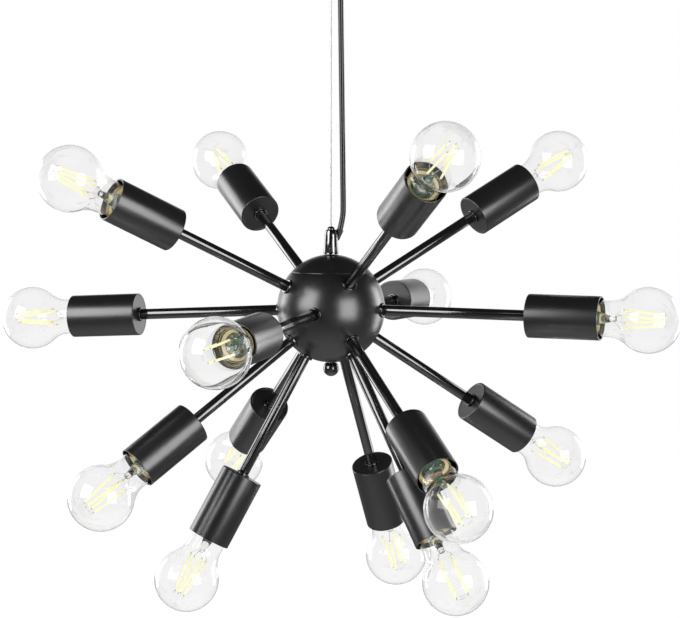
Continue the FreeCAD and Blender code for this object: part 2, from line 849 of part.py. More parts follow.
for tier in TIERS:
    reach = f"{tier}_reach"
    arm_length = f"{reach} + arm_thread - hub_radius + arm_inside"
    master = tube(f"{tier}_tube", "arm_radius", "arm_bore", "hub_radius - arm_inside", arm_length)
    tier_arms = [arm for arm in ARMS if arm[0] == tier]
    links = [placed(master, f"arm_{arm_name(arm)}", from_hub(arm)) for arm in tier_arms]
    keep(grouped(f"{tier}_arm_group", links), f"arms_{tier}")

seat = "(hub_radius + seat_gap)"
collar_bore = "(arm_radius + hole_gap)"
hub_collar = turned(
    "hub_collar",
    (
        (collar_bore, f"sqrt({seat} ^ 2 - {collar_bore} ^ 2)"),
        ("collar_radius", f"sqrt({seat} ^ 2 - collar_radius ^ 2)"),
        ("collar_radius", "hub_radius + collar_height"),
        (collar_bore, "hub_radius + collar_height"),
    ),
)
keep_on_arms("hub_collars", hub_collar, from_hub)

# the nut's corners touch the inside of the ball first
nut_corner = "(nut_flats / sqrt(3))"
nut_top = f"(sqrt({inner} ^ 2 - {nut_corner} ^ 2) - seat_gap)"
hub_nut = hexagon_nut("hub_nut", "nut_flats", collar_bore, f"{nut_top} - nut_height", "nut_height")
keep_on_arms("hub_nuts", hub_nut, from_hub)

cup_collar = turned(
    "cup_collar",
    (
        (collar_bore, "-cup_collar_height"),
        ("cup_collar_radius", "-cup_collar_height"),
        ("cup_collar_radius", "0"),
        (collar_bore, "0"),
    ),
)
keep_on_arms("cup_collars", cup_collar, from_cup)

# ---------------------------------------------------------------- cups and lamp holders

cup = turned(
    "cup",
    (
        (collar_bore, "0"),
        ("cup_radius - cup_edge", "0"),
        ("cup_radius", "cup_edge"),
        ("cup_radius", "cup_length"),
        ("cup_radius - cup_wall", "cup_length"),
        ("cup_radius - cup_wall", "cup_floor"),
        (collar_bore, "cup_floor"),
    ),
)
for arm in ARMS:
    keep(placed(cup, f"placed_cup_{arm_name(arm)}", from_cup(arm)), f"cup_{arm_name(arm)}")

lamp_holder = turned(
    "lamp_holder",
    (
        (collar_bore, "cup_floor"),
        ("holder_radius", "cup_floor"),
        ("holder_radius", "cup_floor + holder_length"),
        ("holder_bore", "cup_floor + holder_length"),
        ("holder_bore", "contact_height"),
        (collar_bore, "contact_height"),
    ),
)
keep_on_arms("lamp_holders", lamp_holder, from_cup)

# ---------------------------------------------------------------- bulbs
# Glass, cap and mount are one bulb. Globe and neck meet in a hollow curve that touches both.

cap_top = "(cup_floor + holder_length + cap_gap + cap_flange)"
cap_tip = "(contact_height + cap_gap)"
glass_foot = f"({cap_top} + ball_gap)"


def globe_points(radius, shoulder, neck):
    """The ends of the hollow curve between a globe and its neck: on the globe, and on the neck."""
    fall = f"sqrt(({radius} + {shoulder}) ^ 2 - ({neck} + {shoulder}) ^ 2)"
    share = f"({radius} / ({radius} + {shoulder}))"
    on_globe = (f"({neck} + {shoulder}) * {share}", f"bulb_centre - {fall} * {share}")
    return on_globe, (neck, f"bulb_centre - {fall}")


inside_radius = "(bulb_radius - glass_wall)"
inside_shoulder = "(bulb_shoulder + glass_wall)"
inside_neck = "(bulb_neck - glass_wall)"
outer_globe, outer_neck = globe_points("bulb_radius", "bulb_shoulder", "bulb_neck")
inner_globe, inner_neck = globe_points(inside_radius, inside_shoulder, inside_neck)
glass = turned(
    "bulb_glass",
    (
        (inside_neck, glass_foot),
        ("bulb_neck", glass_foot),
        outer_neck,
        outer_globe,
        ("0", "bulb_centre + bulb_radius"),
        ("0", f"bulb_centre + {inside_radius}"),
        inner_globe,
        inner_neck,
    ),
    {
        2: ("bulb_shoulder", -1),
        3: ("bulb_radius", 1),
        5: (inside_radius, -1),
        6: (inside_shoulder, 1),
    },
)
cap = turned(
    "bulb_cap",
    (
        ("0", cap_tip),
        ("cap_tip_radius", cap_tip),
        ("cap_radius", f"{cap_tip} + cap_taper"),
        ("cap_radius", f"{cap_top} - cap_flange"),
        ("bulb_neck", f"{cap_top} - cap_flange"),
        ("bulb_neck", cap_top),
        ("0", cap_top),
    ),
)
# the glass stem carries a mast with two crosses, and the filaments stand between the crosses
mount_foot = f"({cap_top} + ball_gap)"
press_end = f"({mount_foot} + press_height)"
mount = turned(
    "bulb_mount",
    (
        ("0", mount_foot),
        ("press_radius", mount_foot),
        ("press_top", press_end),
        ("0", press_end),
    ),
)
half_support = "(support_thick / 2)"
filament_top = "(bulb_centre + filament_rise)"
filament_foot = f"({filament_top} - filament_length)"
tip = "(filament_ring + filament_thick / 2)"
plus = [
    (tip, f"-{half_support}"),
    (tip, half_support),
    (half_support, half_support),
    (half_support, tip),
    (f"-{half_support}", tip),
    (f"-{half_support}", half_support),
    (f"-{tip}", half_support),
    (f"-{tip}", f"-{half_support}"),
    (f"-{half_support}", f"-{half_support}"),
    (f"-{half_support}", f"-{tip}"),
    (half_support, f"-{tip}"),
    (half_support, f"-{half_support}"),
]
square = [plus[2], plus[5], plus[8], plus[11]]
mast = new_sketch(mount, "mast", "XY_Plane")
outline(mast, square)
lifted(mast, f"{press_end} - support_thick")
padded(mount, mast, f"{filament_top} - {press_end} + support_thick")
for level_name, level in (("foot", f"{filament_foot} - support_thick"), ("top", filament_top)):
    cross = new_sketch(mount, f"cross_{level_name}", "XY_Plane")
    outline(cross, plus)
    lifted(cross, level)
    padded(mount, cross, "support_thick")

filaments = []
for index, (x, y) in enumerate(((1, 0), (0, 1), (-1, 0), (0, -1)), start=1):
    filament = doc.addObject("Part::Box", f"filament_{index}")
    spans = ("filament_width", "filament_thick") if y else ("filament_thick", "filament_width")
    for side_name, span in zip(("Length", "Width", "Height"), (*spans, "filament_length")):
        filament.setExpression(side_name, bound(span))
    for axis, way, span in zip("xy", (x, y), spans):
        filament.setExpression(f"Placement.Base.{axis}", bound(f"{way} * filament_ring - {span} / 2"))
    filament.setExpression("Placement.Base.z", bound(filament_foot))
    filaments.append(filament)

bulb = grouped("bulb", [glass, cap, mount, *filaments])
for arm in ARMS:
    keep(placed(bulb, f"placed_bulb_{arm_name(arm)}", from_cup(arm)), f"bulb_{arm_name(arm)}")

# ---------------------------------------------------------------- check and write

doc.recompute()
for item in doc.Objects:
    if "Invalid" in item.State or "Error" in item.State:
        raise SystemExit(f"{item.Label} failed: {item.State}")
os.makedirs("parts", exist_ok=True)
solids = {}
for piece in kept:
    if piece.Shape.isNull() or not piece.Shape.isValid():
        raise SystemExit(f"{piece.Label} has no valid shape")
    solids[piece.Label] = len(piece.Shape.Solids)
    piece.Shape.exportStep(f"parts/{piece.Label}.step")
print(len(kept), "nodes,", sum(solids.values()), "solids")
swing = number(swing_height)
print("the wire swings about z", round(swing, 3))
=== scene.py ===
"""A sputnik chandelier: black ball, fifteen tubular arms, cups and clear filament bulbs on a steel wire."""

import logging
import math
from dataclasses import dataclass
from enum import Enum

import bpy
from mathutils import Matrix, Vector


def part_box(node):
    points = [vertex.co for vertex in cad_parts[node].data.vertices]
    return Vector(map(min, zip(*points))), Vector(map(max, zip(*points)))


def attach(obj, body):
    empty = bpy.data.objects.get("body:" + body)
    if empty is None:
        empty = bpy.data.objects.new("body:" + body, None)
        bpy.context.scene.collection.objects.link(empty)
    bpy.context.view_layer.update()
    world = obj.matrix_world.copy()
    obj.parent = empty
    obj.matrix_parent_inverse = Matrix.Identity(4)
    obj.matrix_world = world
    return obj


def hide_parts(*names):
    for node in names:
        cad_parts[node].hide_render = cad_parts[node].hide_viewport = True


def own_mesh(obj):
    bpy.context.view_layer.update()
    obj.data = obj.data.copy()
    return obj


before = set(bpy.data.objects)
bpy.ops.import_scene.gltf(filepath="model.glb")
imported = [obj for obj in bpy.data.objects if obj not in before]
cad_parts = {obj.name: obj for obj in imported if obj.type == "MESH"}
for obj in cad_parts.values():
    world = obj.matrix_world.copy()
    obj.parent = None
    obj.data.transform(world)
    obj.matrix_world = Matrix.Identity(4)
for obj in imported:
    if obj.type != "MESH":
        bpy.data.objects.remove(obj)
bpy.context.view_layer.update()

log = logging.getLogger("chandelier")

MM = 0.001
UP = Vector((0, 0, 1))
HUB = Vector((0, 0, -0.338))  # the ball's centre
HUB_RADIUS = 50.5 * MM
ARM_RADIUS = 5 * MM
CORD_SIDE = math.radians(20)  # direction of the power cord from the wire, seen from above
CORD_OUT = Vector((math.cos(CORD_SIDE), math.sin(CORD_SIDE), 0))
ON_BALL = Matrix.Translation(HUB)

# Control points of the two lines, from above: the steel wire, and the power cord beside it.
WIRE_ROUTE = ((0, 0, -0.03393), (0, 0, -0.176), (0, 0, -0.318))
CORD_ROUTE = (
    (0.00883, 0.00321, -0.0265),
    (0.00883, 0.00321, -0.0385),
    (0.00898, 0.00327, -0.0505),
    (0.01119, 0.00407, -0.2245),
    (0.01137, 0.00414, -0.2390),
    (0.01128, 0.00410, -0.2535),
    (0.00773, 0.00281, -0.26691),
)


class Tier(Enum):
    """The four tiers of arms: the word in the CAD nodes' names, and the reach from the ball to the cups."""

    UPPER = ("upper", 0.176)
    MIDDLE = ("middle", 0.190)
    LOWER = ("lower", 0.174)
    BOTTOM = ("bottom", 0.176)

    @property
    def node(self) -> str:
        """The tier's word in the names of the CAD nodes."""
        return self.value[0]

    @property
    def reach(self) -> float:
        """The distance from the ball's centre to the back of the cup."""
        return self.value[1]


class Smooth(Enum):
    """How a surface is shaded across its edges: the steepest angle that still looks round, in degrees."""

    ROUND = 60
    TURNED = 32
    FLAT = 5


@dataclass(frozen=True)
class Arm:
    """One arm: its tier, its number there, and its direction from the ball in degrees."""

    tier: Tier
    number: int
    azimuth: float
    elevation: float

    @property
    def name(self) -> str:
        """The end of the names of the arm's cup and bulb."""
        return f"{self.tier.node}_{self.number}"

    @property
    def direction(self) -> Vector:
        """The unit vector along the arm."""
        azimuth, elevation = math.radians(self.azimuth), math.radians(self.elevation)
        level = math.cos(elevation)
        return Vector((level * math.cos(azimuth), level * math.sin(azimuth), math.sin(elevation)))

    @property
    def cup_place(self) -> Matrix:
        """The place of a piece whose own origin is the back of the cup and whose +Z is the arm's."""
        turn = UP.rotation_difference(self.direction).to_matrix().to_4x4()
        return Matrix.Translation(HUB + self.direction * self.tier.reach) @ turn


ARMS = (
    Arm(Tier.UPPER, 1, 27, 29),
    Arm(Tier.UPPER, 2, 117.5, 29.5),
    Arm(Tier.UPPER, 3, 208, 25),
    Arm(Tier.UPPER, 4, 292.5, 29),
    Arm(Tier.MIDDLE, 1, 71, -0.5),
    Arm(Tier.MIDDLE, 2, 165, -2.5),
    Arm(Tier.MIDDLE, 3, 252, -4),
    Arm(Tier.MIDDLE, 4, 341, -1),
    Arm(Tier.LOWER, 1, 24, -32),
    Arm(Tier.LOWER, 2, 116, -36),
    Arm(Tier.LOWER, 3, 208.5, -35),
    Arm(Tier.LOWER, 4, 297.5, -34),
    Arm(Tier.BOTTOM, 1, 62, -61.5),
    Arm(Tier.BOTTOM, 2, 190, -61.5),
    Arm(Tier.BOTTOM, 3, 315, -56.5),
)


def arms_of(tier: Tier) -> tuple[Arm, ...]:
    """The arms of one tier."""
    return tuple(arm for arm in ARMS if arm.tier is tier)


# ---------------------------------------------------------------- shader maths


# The Mix node's sockets that are used when it mixes colours, by number, since several share one name.
MIX_FACTOR, MIX_LOW, MIX_HIGH, MIX_COLOR = 0, 6, 7, 2


class Signal:
    """A number in a shader, usable in Python expressions that add the Math nodes they need."""

    def __init__(self, shader: "Shader", socket: bpy.types.NodeSocket) -> None:
        """Wraps a number's socket.

        Args:
            shader: the shader that the socket belongs to.
            socket: the output that carries the number.
        """
        self.shader = shader
        self.socket = socket

    def calculated(self, operation: str, *values: object) -> "Signal":
        """A Math node on these values."""
        node = self.shader.node("ShaderNodeMath", {"operation": operation}, dict(enumerate(values)))
        return Signal(self.shader, node.outputs[0])

    def __add__(self, other: object) -> "Signal":
        """The sum."""
        return self.calculated("ADD", self, other)

    def __sub__(self, other: object) -> "Signal":
        """The difference."""
        return self.calculated("SUBTRACT", self, other)

    def __rsub__(self, other: object) -> "Signal":
        """The difference, the other way round."""
        return self.calculated("SUBTRACT", other, self)

    def __mul__(self, other: object) -> "Signal":
        """The product."""
        return self.calculated("MULTIPLY", self, other)

    __radd__ = __add__
    __rmul__ = __mul__

    def wave(self) -> "Signal":
        """The sine, moved to run from 0 to 1."""
        return self.calculated("SINE", self) * 0.5 + 0.5

    def between(self, low: float, high: float) -> "Signal":
        """A smooth step from 0 at low to 1 at high."""
        node = self.shader.node(
            "ShaderNodeMapRange",
            {"interpolation_type": "SMOOTHSTEP"},
            {"Value": self, "From Min": low, "From Max": high},
        )
        return Signal(self.shader, node.outputs[0])


class Shader:
    """A node tree under construction, with one method that makes every node."""

    def __init__(self, tree: bpy.types.NodeTree) -> None:
        """Empties the tree.

        Args:
            tree: a material's or a world's node tree.
        """
        self.tree = tree
        tree.nodes.clear()

    def node(self, kind: str, settings: dict | None = None, inputs: dict | None = None) -> bpy.types.Node:
        """Adds a node.

        Args:
            kind: the node's type.
            settings: its own settings, set first.
            inputs: values, Signals or sockets, by the name or the number of the input.

        Returns:
            The node.
        """
        node = self.tree.nodes.new(kind)
        for key, value in (settings or {}).items():
            setattr(node, key, value)
        for key, value in (inputs or {}).items():
            socket = node.inputs[key]
            if isinstance(value, Signal):
                value = value.socket
            if isinstance(value, bpy.types.NodeSocket):
                self.tree.links.new(value, socket)
            else:
                socket.default_value = value
        return node

    def place(self) -> bpy.types.NodeSocket:
        """The point on the surface, in the object's own coordinates."""
        return self.node("ShaderNodeTexCoord").outputs["Object"]

    def path(self) -> bpy.types.NodeSocket:
        """The piece's own UV map: once round the piece, and along it in metres."""
        return self.node("ShaderNodeTexCoord").outputs["UV"]

    def axes(self, vector: bpy.types.NodeSocket) -> tuple[Signal, Signal, Signal]:
        """The three numbers of a vector."""
        split = self.node("ShaderNodeSeparateXYZ", None, {0: vector})
        return tuple(Signal(self, socket) for socket in split.outputs)

    def noise(self, scale: float, detail: float) -> Signal:
        """Soft noise from 0 to 1 in the object's own coordinates.

        Args:
            scale: its frequency per metre.
            detail: how many finer layers it has.

        Returns:
            The noise.
        """
        inputs = {"Vector": self.place(), "Scale": scale, "Detail": detail}
        return Signal(self, self.node("ShaderNodeTexNoise", None, inputs).outputs["Fac"])

    def blend(self, factor: Signal, low: tuple, high: tuple) -> bpy.types.NodeSocket:
        """A colour between two.

        Args:
            factor: 0 for the first colour, 1 for the second.
            low: the first colour.
            high: the second colour.

        Returns:
            The mixed colour's socket.
        """
        inputs = {MIX_FACTOR: factor, MIX_LOW: (*low, 1), MIX_HIGH: (*high, 1)}
        return self.node("ShaderNodeMix", {"data_type": "RGBA"}, inputs).outputs[MIX_COLOR]

    def bump(self, height: Signal, strength: float, distance: float) -> bpy.types.NodeSocket:
        """A normal bent by a height.

        Args:
            height: the height, 0 to 1.
            strength: how much of it counts.
            distance: the height of 1, in metres.

        Returns:
            The normal's socket.
        """
        inputs = {"Height": height, "Strength": strength, "Distance": distance}
        return self.node("ShaderNodeBump", None, inputs).outputs["Normal"]


# ---------------------------------------------------------------- finishes


@dataclass(frozen=True)
class Finish:
    """A surface finish, and the record's slot that it belongs to."""

    name: str
    slot: str | None
    color: tuple[float, float, float]
    roughness: float

    def principled(self, shader: Shader, inputs: dict) -> bpy.types.Node:
        """The surface's one shader node.

        Args:
            shader: the material's shader.
            inputs: what differs from the plain colour and roughness.

        Returns:
            The node.
        """
        plain = {"Base Color": (*self.color, 1), "Roughness": self.roughness}
        return shader.node("ShaderNodeBsdfPrincipled", None, {**plain, **inputs})

    def surface(self, shader: Shader) -> bpy.types.Node:
        """The finish's shader node, plain unless a finish says otherwise."""
        return self.principled(shader, {})

    def material(self) -> bpy.types.Material:
        """The material of this finish, made once.

        Returns:
            The material.
        """
        made = bpy.data.materials.get(self.name)
        if made:
            return made
        made = bpy.data.materials.new(self.name)
        made.use_nodes = True
        shader = Shader(made.node_tree)
        surface = self.surface(shader)
        shader.node("ShaderNodeOutputMaterial", None, {"Surface": surface.outputs[0]})
        return made


@dataclass(frozen=True)
class PowderCoat(Finish):
    """Satin black powder coat with its fine grain."""

    grain: float = 2600.0

    def surface(self, shader: Shader) -> bpy.types.Node:
        """Fine grain in the normal and slow changes of the sheen."""
        grain = shader.noise(self.grain, 1)
        cloud = shader.noise(38, 3)
        dust = shader.noise(260, 2)
        inputs = {
            "Base Color": shader.blend(cloud, self.color, tuple(1.35 * c for c in self.color)),
            "Roughness": self.roughness + (cloud - 0.5) * 0.07 + (dust - 0.5) * 0.05,
            "Normal": shader.bump(grain, 0.2, 0.06 * MM),
            "IOR": 1.85,
        }
        return self.principled(shader, inputs)


@dataclass(frozen=True)
class Lacquer(Finish):
    """Glossy black lacquer on tube, with the faint waviness of a dipped coat."""

    def surface(self, shader: Shader) -> bpy.types.Node:
        """Slow waves in the normal and small changes of the gloss."""
        wave = shader.noise(110, 1)
        smear = shader.noise(420, 2)
        inputs = {
            "Roughness": self.roughness + (smear - 0.5) * 0.06,
            "Normal": shader.bump(wave, 0.04, 0.4 * MM),
            "IOR": 2.1,
        }
        return self.principled(shader, inputs)


@dataclass(frozen=True)
class Plating(Finish):
    """Polished or satin metal, with its turning lines as radians per metre."""

    lines: float

    def surface(self, shader: Shader) -> bpy.types.Node:
        """Fine turning lines across the piece and slight clouding."""
        cloud = shader.noise(90, 3)
        height = shader.axes(shader.place())[2]
        ridges = (height * self.lines).wave()
        inputs = {
            "Metallic": 1.0,
            "Roughness": self.roughness + (cloud - 0.5) * 0.08,
            "Normal": shader.bump(ridges, 0.15, 0.02 * MM),
        }
        return self.principled(shader, inputs)


@dataclass(frozen=True)
class TwistedWire(Finish):
    """A thin steel wire laid up from strands."""

    lay_length: float = 11 * MM
    strands: int = 6

    def surface(self, shader: Shader) -> bpy.types.Node:
        """Strands that climb round the wire, as ridges, with painted shade darkening the grooves between them."""
        x, y, z = shader.axes(shader.place())
        angle = y.calculated("ARCTAN2", y, x)
        ridge_and_groove_shade = (angle * self.strands + z * (2 * math.pi * self.strands / self.lay_length)).wave()
        inputs = {
            "Metallic": 1.0,
            # painted shade: the base colour drops to 0.45 of the steel's in the grooves between strands
            "Base Color": shader.blend(ridge_and_groove_shade, tuple(0.45 * c for c in self.color), self.color),
            "Normal": shader.bump(ridge_and_groove_shade, 0.5, 0.12 * MM),
        }
        return self.principled(shader, inputs)


@dataclass(frozen=True)
class CordJacket(Finish):
    """Smooth black cord jacket."""

    def surface(self, shader: Shader) -> bpy.types.Node:
        """Slight ripples along the jacket and a change of gloss where it was handled."""
        ripple = shader.noise(160, 1)
        smear = shader.noise(700, 2)
        inputs = {
            "Roughness": self.roughness + (smear - 0.5) * 0.08,
            "Normal": shader.bump(ripple, 0.15, 0.3 * MM),
        }
        return self.principled(shader, inputs)


@dataclass(frozen=True)
class Moulding(Finish):
    """Moulded plastic or ceramic."""

    def surface(self, shader: Shader) -> bpy.types.Node:
        """The fine spark grain of a mould and faint mottling."""
        grain = shader.noise(1800, 2)
        cloud = shader.noise(120, 3)
        inputs = {
            "Base Color": shader.blend(cloud, tuple(0.92 * c for c in self.color), self.color),
            "Roughness": self.roughness + (cloud - 0.5) * 0.1,
            "Normal": shader.bump(grain, 0.2, 0.05 * MM),
        }
        return self.principled(shader, inputs)


@dataclass(frozen=True)
class BlownGlass(Finish):
    """Clear thin glass."""

    def surface(self, shader: Shader) -> bpy.types.Node:
        """Clear glass with the faint unevenness of a blown envelope."""
        uneven = shader.noise(30, 1)
        inputs = {
            "Transmission Weight": 1.0,
            "IOR": 1.46,
            "Normal": shader.bump(uneven, 0.05, 0.5 * MM),
        }
        return self.principled(shader, inputs)


@dataclass(frozen=True)
class Phosphor(Finish):
    """The pale yellow coating of a filament, with a painted glow: it emits its own colour though the bulb is not lit.
    """

    # painted light: the strength of the unlit coating's glow
    glow: float = 0.42
    chip_length: float = 1.4 * MM

    def surface(self, shader: Shader) -> bpy.types.Node:
        """Coating over a row of chips, a little darker between them."""
        along = shader.axes(shader.path())[1]
        chips = (along * (2 * math.pi / self.chip_length)).wave()
        coat = shader.blend(chips, tuple(0.96 * c for c in self.color), self.color)
        # painted light: the coating emits its own colour as a glow
        inputs = {"Base Color": coat, "Emission Color": coat, "Emission Strength": self.glow}
        return self.principled(shader, inputs)


SATIN_BLACK = PowderCoat("satin_black_coat", "satin_black", (0.008, 0.008, 0.0085), 0.3)
GLOSS_BLACK = Lacquer("gloss_black_lacquer", "gloss_black", (0.005, 0.005, 0.0053), 0.12)
BLACK_CHROME = Plating("black_chrome_plating", "black_chrome", (0.22, 0.22, 0.225), 0.12, 9000.0)
ZINC = Plating("zinc_plate", "zinc_steel", (0.62, 0.62, 0.63), 0.34, 4000.0)
BRIGHT_NICKEL = Plating("bright_nickel", None, (0.72, 0.71, 0.69), 0.22, 6000.0)
WIRE_STEEL = TwistedWire("laid_wire_steel", "wire_steel", (0.72, 0.72, 0.73), 0.38)
JACKET = CordJacket("smooth_cord_jacket", "cord_jacket", (0.012, 0.012, 0.012), 0.12)
BLACK_NYLON = Moulding("moulded_black_nylon", "black_plastic", (0.018, 0.018, 0.018), 0.35)
WHITE_CERAMIC = Moulding("moulded_white", "white_plastic", (0.78, 0.77, 0.74), 0.45)
CLEAR_GLASS = BlownGlass("blown_clear_glass", "clear_glass", (0.952, 0.953, 0.951), 0.0)
FILAMENT_COAT = Phosphor("filament_phosphor", None, (1.0, 0.95, 0.55), 0.5)
BOARD_GREEN = Moulding("driver_board", None, (0.12, 0.42, 0.25), 0.35)
BRASS = Plating("brass_liner", None, (0.72, 0.6, 0.34), 0.3, 9000.0)
COPPER = Plating("copper_winding", None, (0.72, 0.34, 0.16), 0.3, 12000.0)


# ---------------------------------------------------------------- shapes


ON_AXIS = 1e-7  # a point nearer to the axis than this is the middle of a disc or a tip

def arc(centre: tuple[float, float], radius: float, start: float, end: float, steps: int) -> list[tuple]:
    """Points on an arc in the (radius, height) plane.

    Args:
        centre: the arc's centre.
        radius: its radius.
        start: its first angle in degrees, from the outward direction towards +Z.
        end: its last angle.
        steps: how many pieces it is cut into.

    Returns:
        The points, both ends included.
    """
    angles = [math.radians(start + (end - start) * step / steps) for step in range(steps + 1)]
    return [(centre[0] + radius * math.cos(a), centre[1] + radius * math.sin(a)) for a in angles]


def rounded(corners: list[tuple], steps: int = 4) -> list[tuple]:
    """An outline with its corners rounded.

    Args:
        corners: (radius, height, rounding) of each corner; a rounding of 0 keeps it sharp.
        steps: how many pieces each rounding has.

    Returns:
        The outline's points.
    """
    points = []
    for index, (r, z, rounding) in enumerate(corners):
        here = Vector((r, z))
        if not rounding:
            points.append((r, z))
            continue
        before = Vector(corners[index - 1][:2]) - here
        after = Vector(corners[(index + 1) % len(corners)][:2]) - here
        half = before.angle(after) / 2
        reach = min(rounding / math.tan(half), 0.49 * before.length, 0.49 * after.length)
        first, last = here + before.normalized() * reach, here + after.normalized() * reach
        for step in range(steps + 1):
            share = step / steps
            near = first.lerp(here, share)
            far = here.lerp(last, share)
            points.append(tuple(near.lerp(far, share)))
    return points


def linked(name: str, data: bpy.types.ID) -> bpy.types.Object:
    """An object with this data, in the scene.

    Args:
        name: the object's name.
        data: its mesh, curve, camera or light.

    Returns:
        The object.
    """
    made = bpy.data.objects.new(name, data)
    bpy.context.scene.collection.objects.link(made)
    return made


def meshed(name: str, vertices: list[tuple], faces: list, finish: Finish, smooth: Smooth,
           maps: tuple | list = ()) -> bpy.types.Object:
    """A piece from its vertices and faces.

    Args:
        name: the piece's name.
        vertices: its points.
        faces: the numbers of each face's points.
        finish: its finish.
        smooth: its shading.
        maps: the UV place of each face's corner, or none where the finish doesn't read it.

    Returns:
        The piece.
    """
    mesh = bpy.data.meshes.new(name)
    mesh.from_pydata(vertices, [], faces)
    layer = mesh.uv_layers.new(name="UVMap")
    for loop, place in zip(layer.data, maps):
        loop.uv = place
    mesh.materials.append(finish.material())
    for face in mesh.polygons:
        face.use_smooth = True
    mesh.set_sharp_from_angle(angle=math.radians(smooth.value))
    return linked(name, mesh)


def polar(distance: float, angle: float, height: float = 0.0) -> Vector:
    """The point at a distance and an angle in radians about +Z, at a height."""
    return Vector((distance * math.cos(angle), distance * math.sin(angle), height))


def turned(name: str, outline: list[tuple], finish: Finish, around: int,
           smooth: Smooth = Smooth.TURNED) -> bpy.types.Object:
    """A piece turned about +Z.

    Args:
        name: the piece's name.
        outline: its points (radius, height), with the material on the left of the way along them. The last
            joins the first.
        finish: its finish.
        around: how many faces go round it.
        smooth: its shading.

    Returns:
        The piece, with its origin where the outline's is.
    """
    vertices, rings = [], []
    for r, z in outline:
        if r < ON_AXIS:
            rings.append([len(vertices)] * around)
            vertices.append((0.0, 0.0, z))
            continue
        rings.append(list(range(len(vertices), len(vertices) + around)))
        for step in range(around):
            angle = 2 * math.pi * step / around
            vertices.append((r * math.cos(angle), r * math.sin(angle), z))
    faces, maps = [], []
    lengths = [0.0]
    for (r0, z0), (r1, z1) in zip(outline, outline[1:] + outline[:1]):
        lengths.append(lengths[-1] + math.hypot(r1 - r0, z1 - z0))
    for index, (low, high) in enumerate(zip(rings, rings[1:] + rings[:1])):
        for step in range(around):
            after = (step + 1) % around
            corners = [low[step], low[after], high[after], high[step]]
            uv = [(step, lengths[index]), (step + 1, lengths[index]), (step + 1, lengths[index + 1]),
                  (step, lengths[index + 1])]
            kept = [k for k in range(4) if corners[k] != corners[k - 1]]
            if len(kept) < 3:
                continue
            faces.append([corners[k] for k in kept])
            maps.extend((uv[k][0] / around, uv[k][1]) for k in kept)
    return meshed(name, vertices, faces, finish, smooth, maps)


def rod(name: str, start: Vector, end: Vector, radius: float, finish: Finish, around: int) -> bpy.types.Object:
    """A thin round rod with slightly rounded ends, from start to end.

    Args:
        name: the piece's name.
        start: the middle of its first end.
        end: the middle of its last end.
        radius: its radius.
        finish: its finish.
        around: how many faces go round it.

    Returns:
        The rod.
    """
    length = (end - start).length
    edge = radius * 0.3
    outline = rounded([(0, 0, 0), (radius, 0, edge), (radius, length, edge), (0, length, 0)], 2)
    piece = turned(name, outline, finish, around)
    turn = UP.rotation_difference(end - start).to_matrix().to_4x4()
    piece.data.transform(Matrix.Translation(start) @ turn)
    return piece


def joined(name: str, pieces: list[bpy.types.Object]) -> bpy.types.Object:
    """Several meshes as one piece, each keeping its own materials.

    Args:
        name: the new piece's name.
        pieces: the meshes, which are used up.

    Returns:
        The one piece.
    """
    with bpy.context.temp_override(active_object=pieces[0], selected_editable_objects=pieces):
        bpy.ops.object.join()
    pieces[0].name = name
    pieces[0].data.name = name
    return pieces[0]


def copied(master: bpy.types.Object, name: str, place: Matrix) -> bpy.types.Object:
    """A copy of a piece with its place in its mesh.

    Args:
        master: the piece to copy.
        name: the copy's name.
        place: where the copy goes.

    Returns:
        The copy.
    """
    mesh = master.data.copy()
    mesh.name = name
    mesh.transform(place)
    return linked(name, mesh)


def removed(*pieces: bpy.types.Object) -> None:
    """Takes away pieces that were only patterns for others."""
    for piece in pieces:
        mesh = piece.data
        bpy.data.objects.remove(piece)
        bpy.data.meshes.remove(mesh)


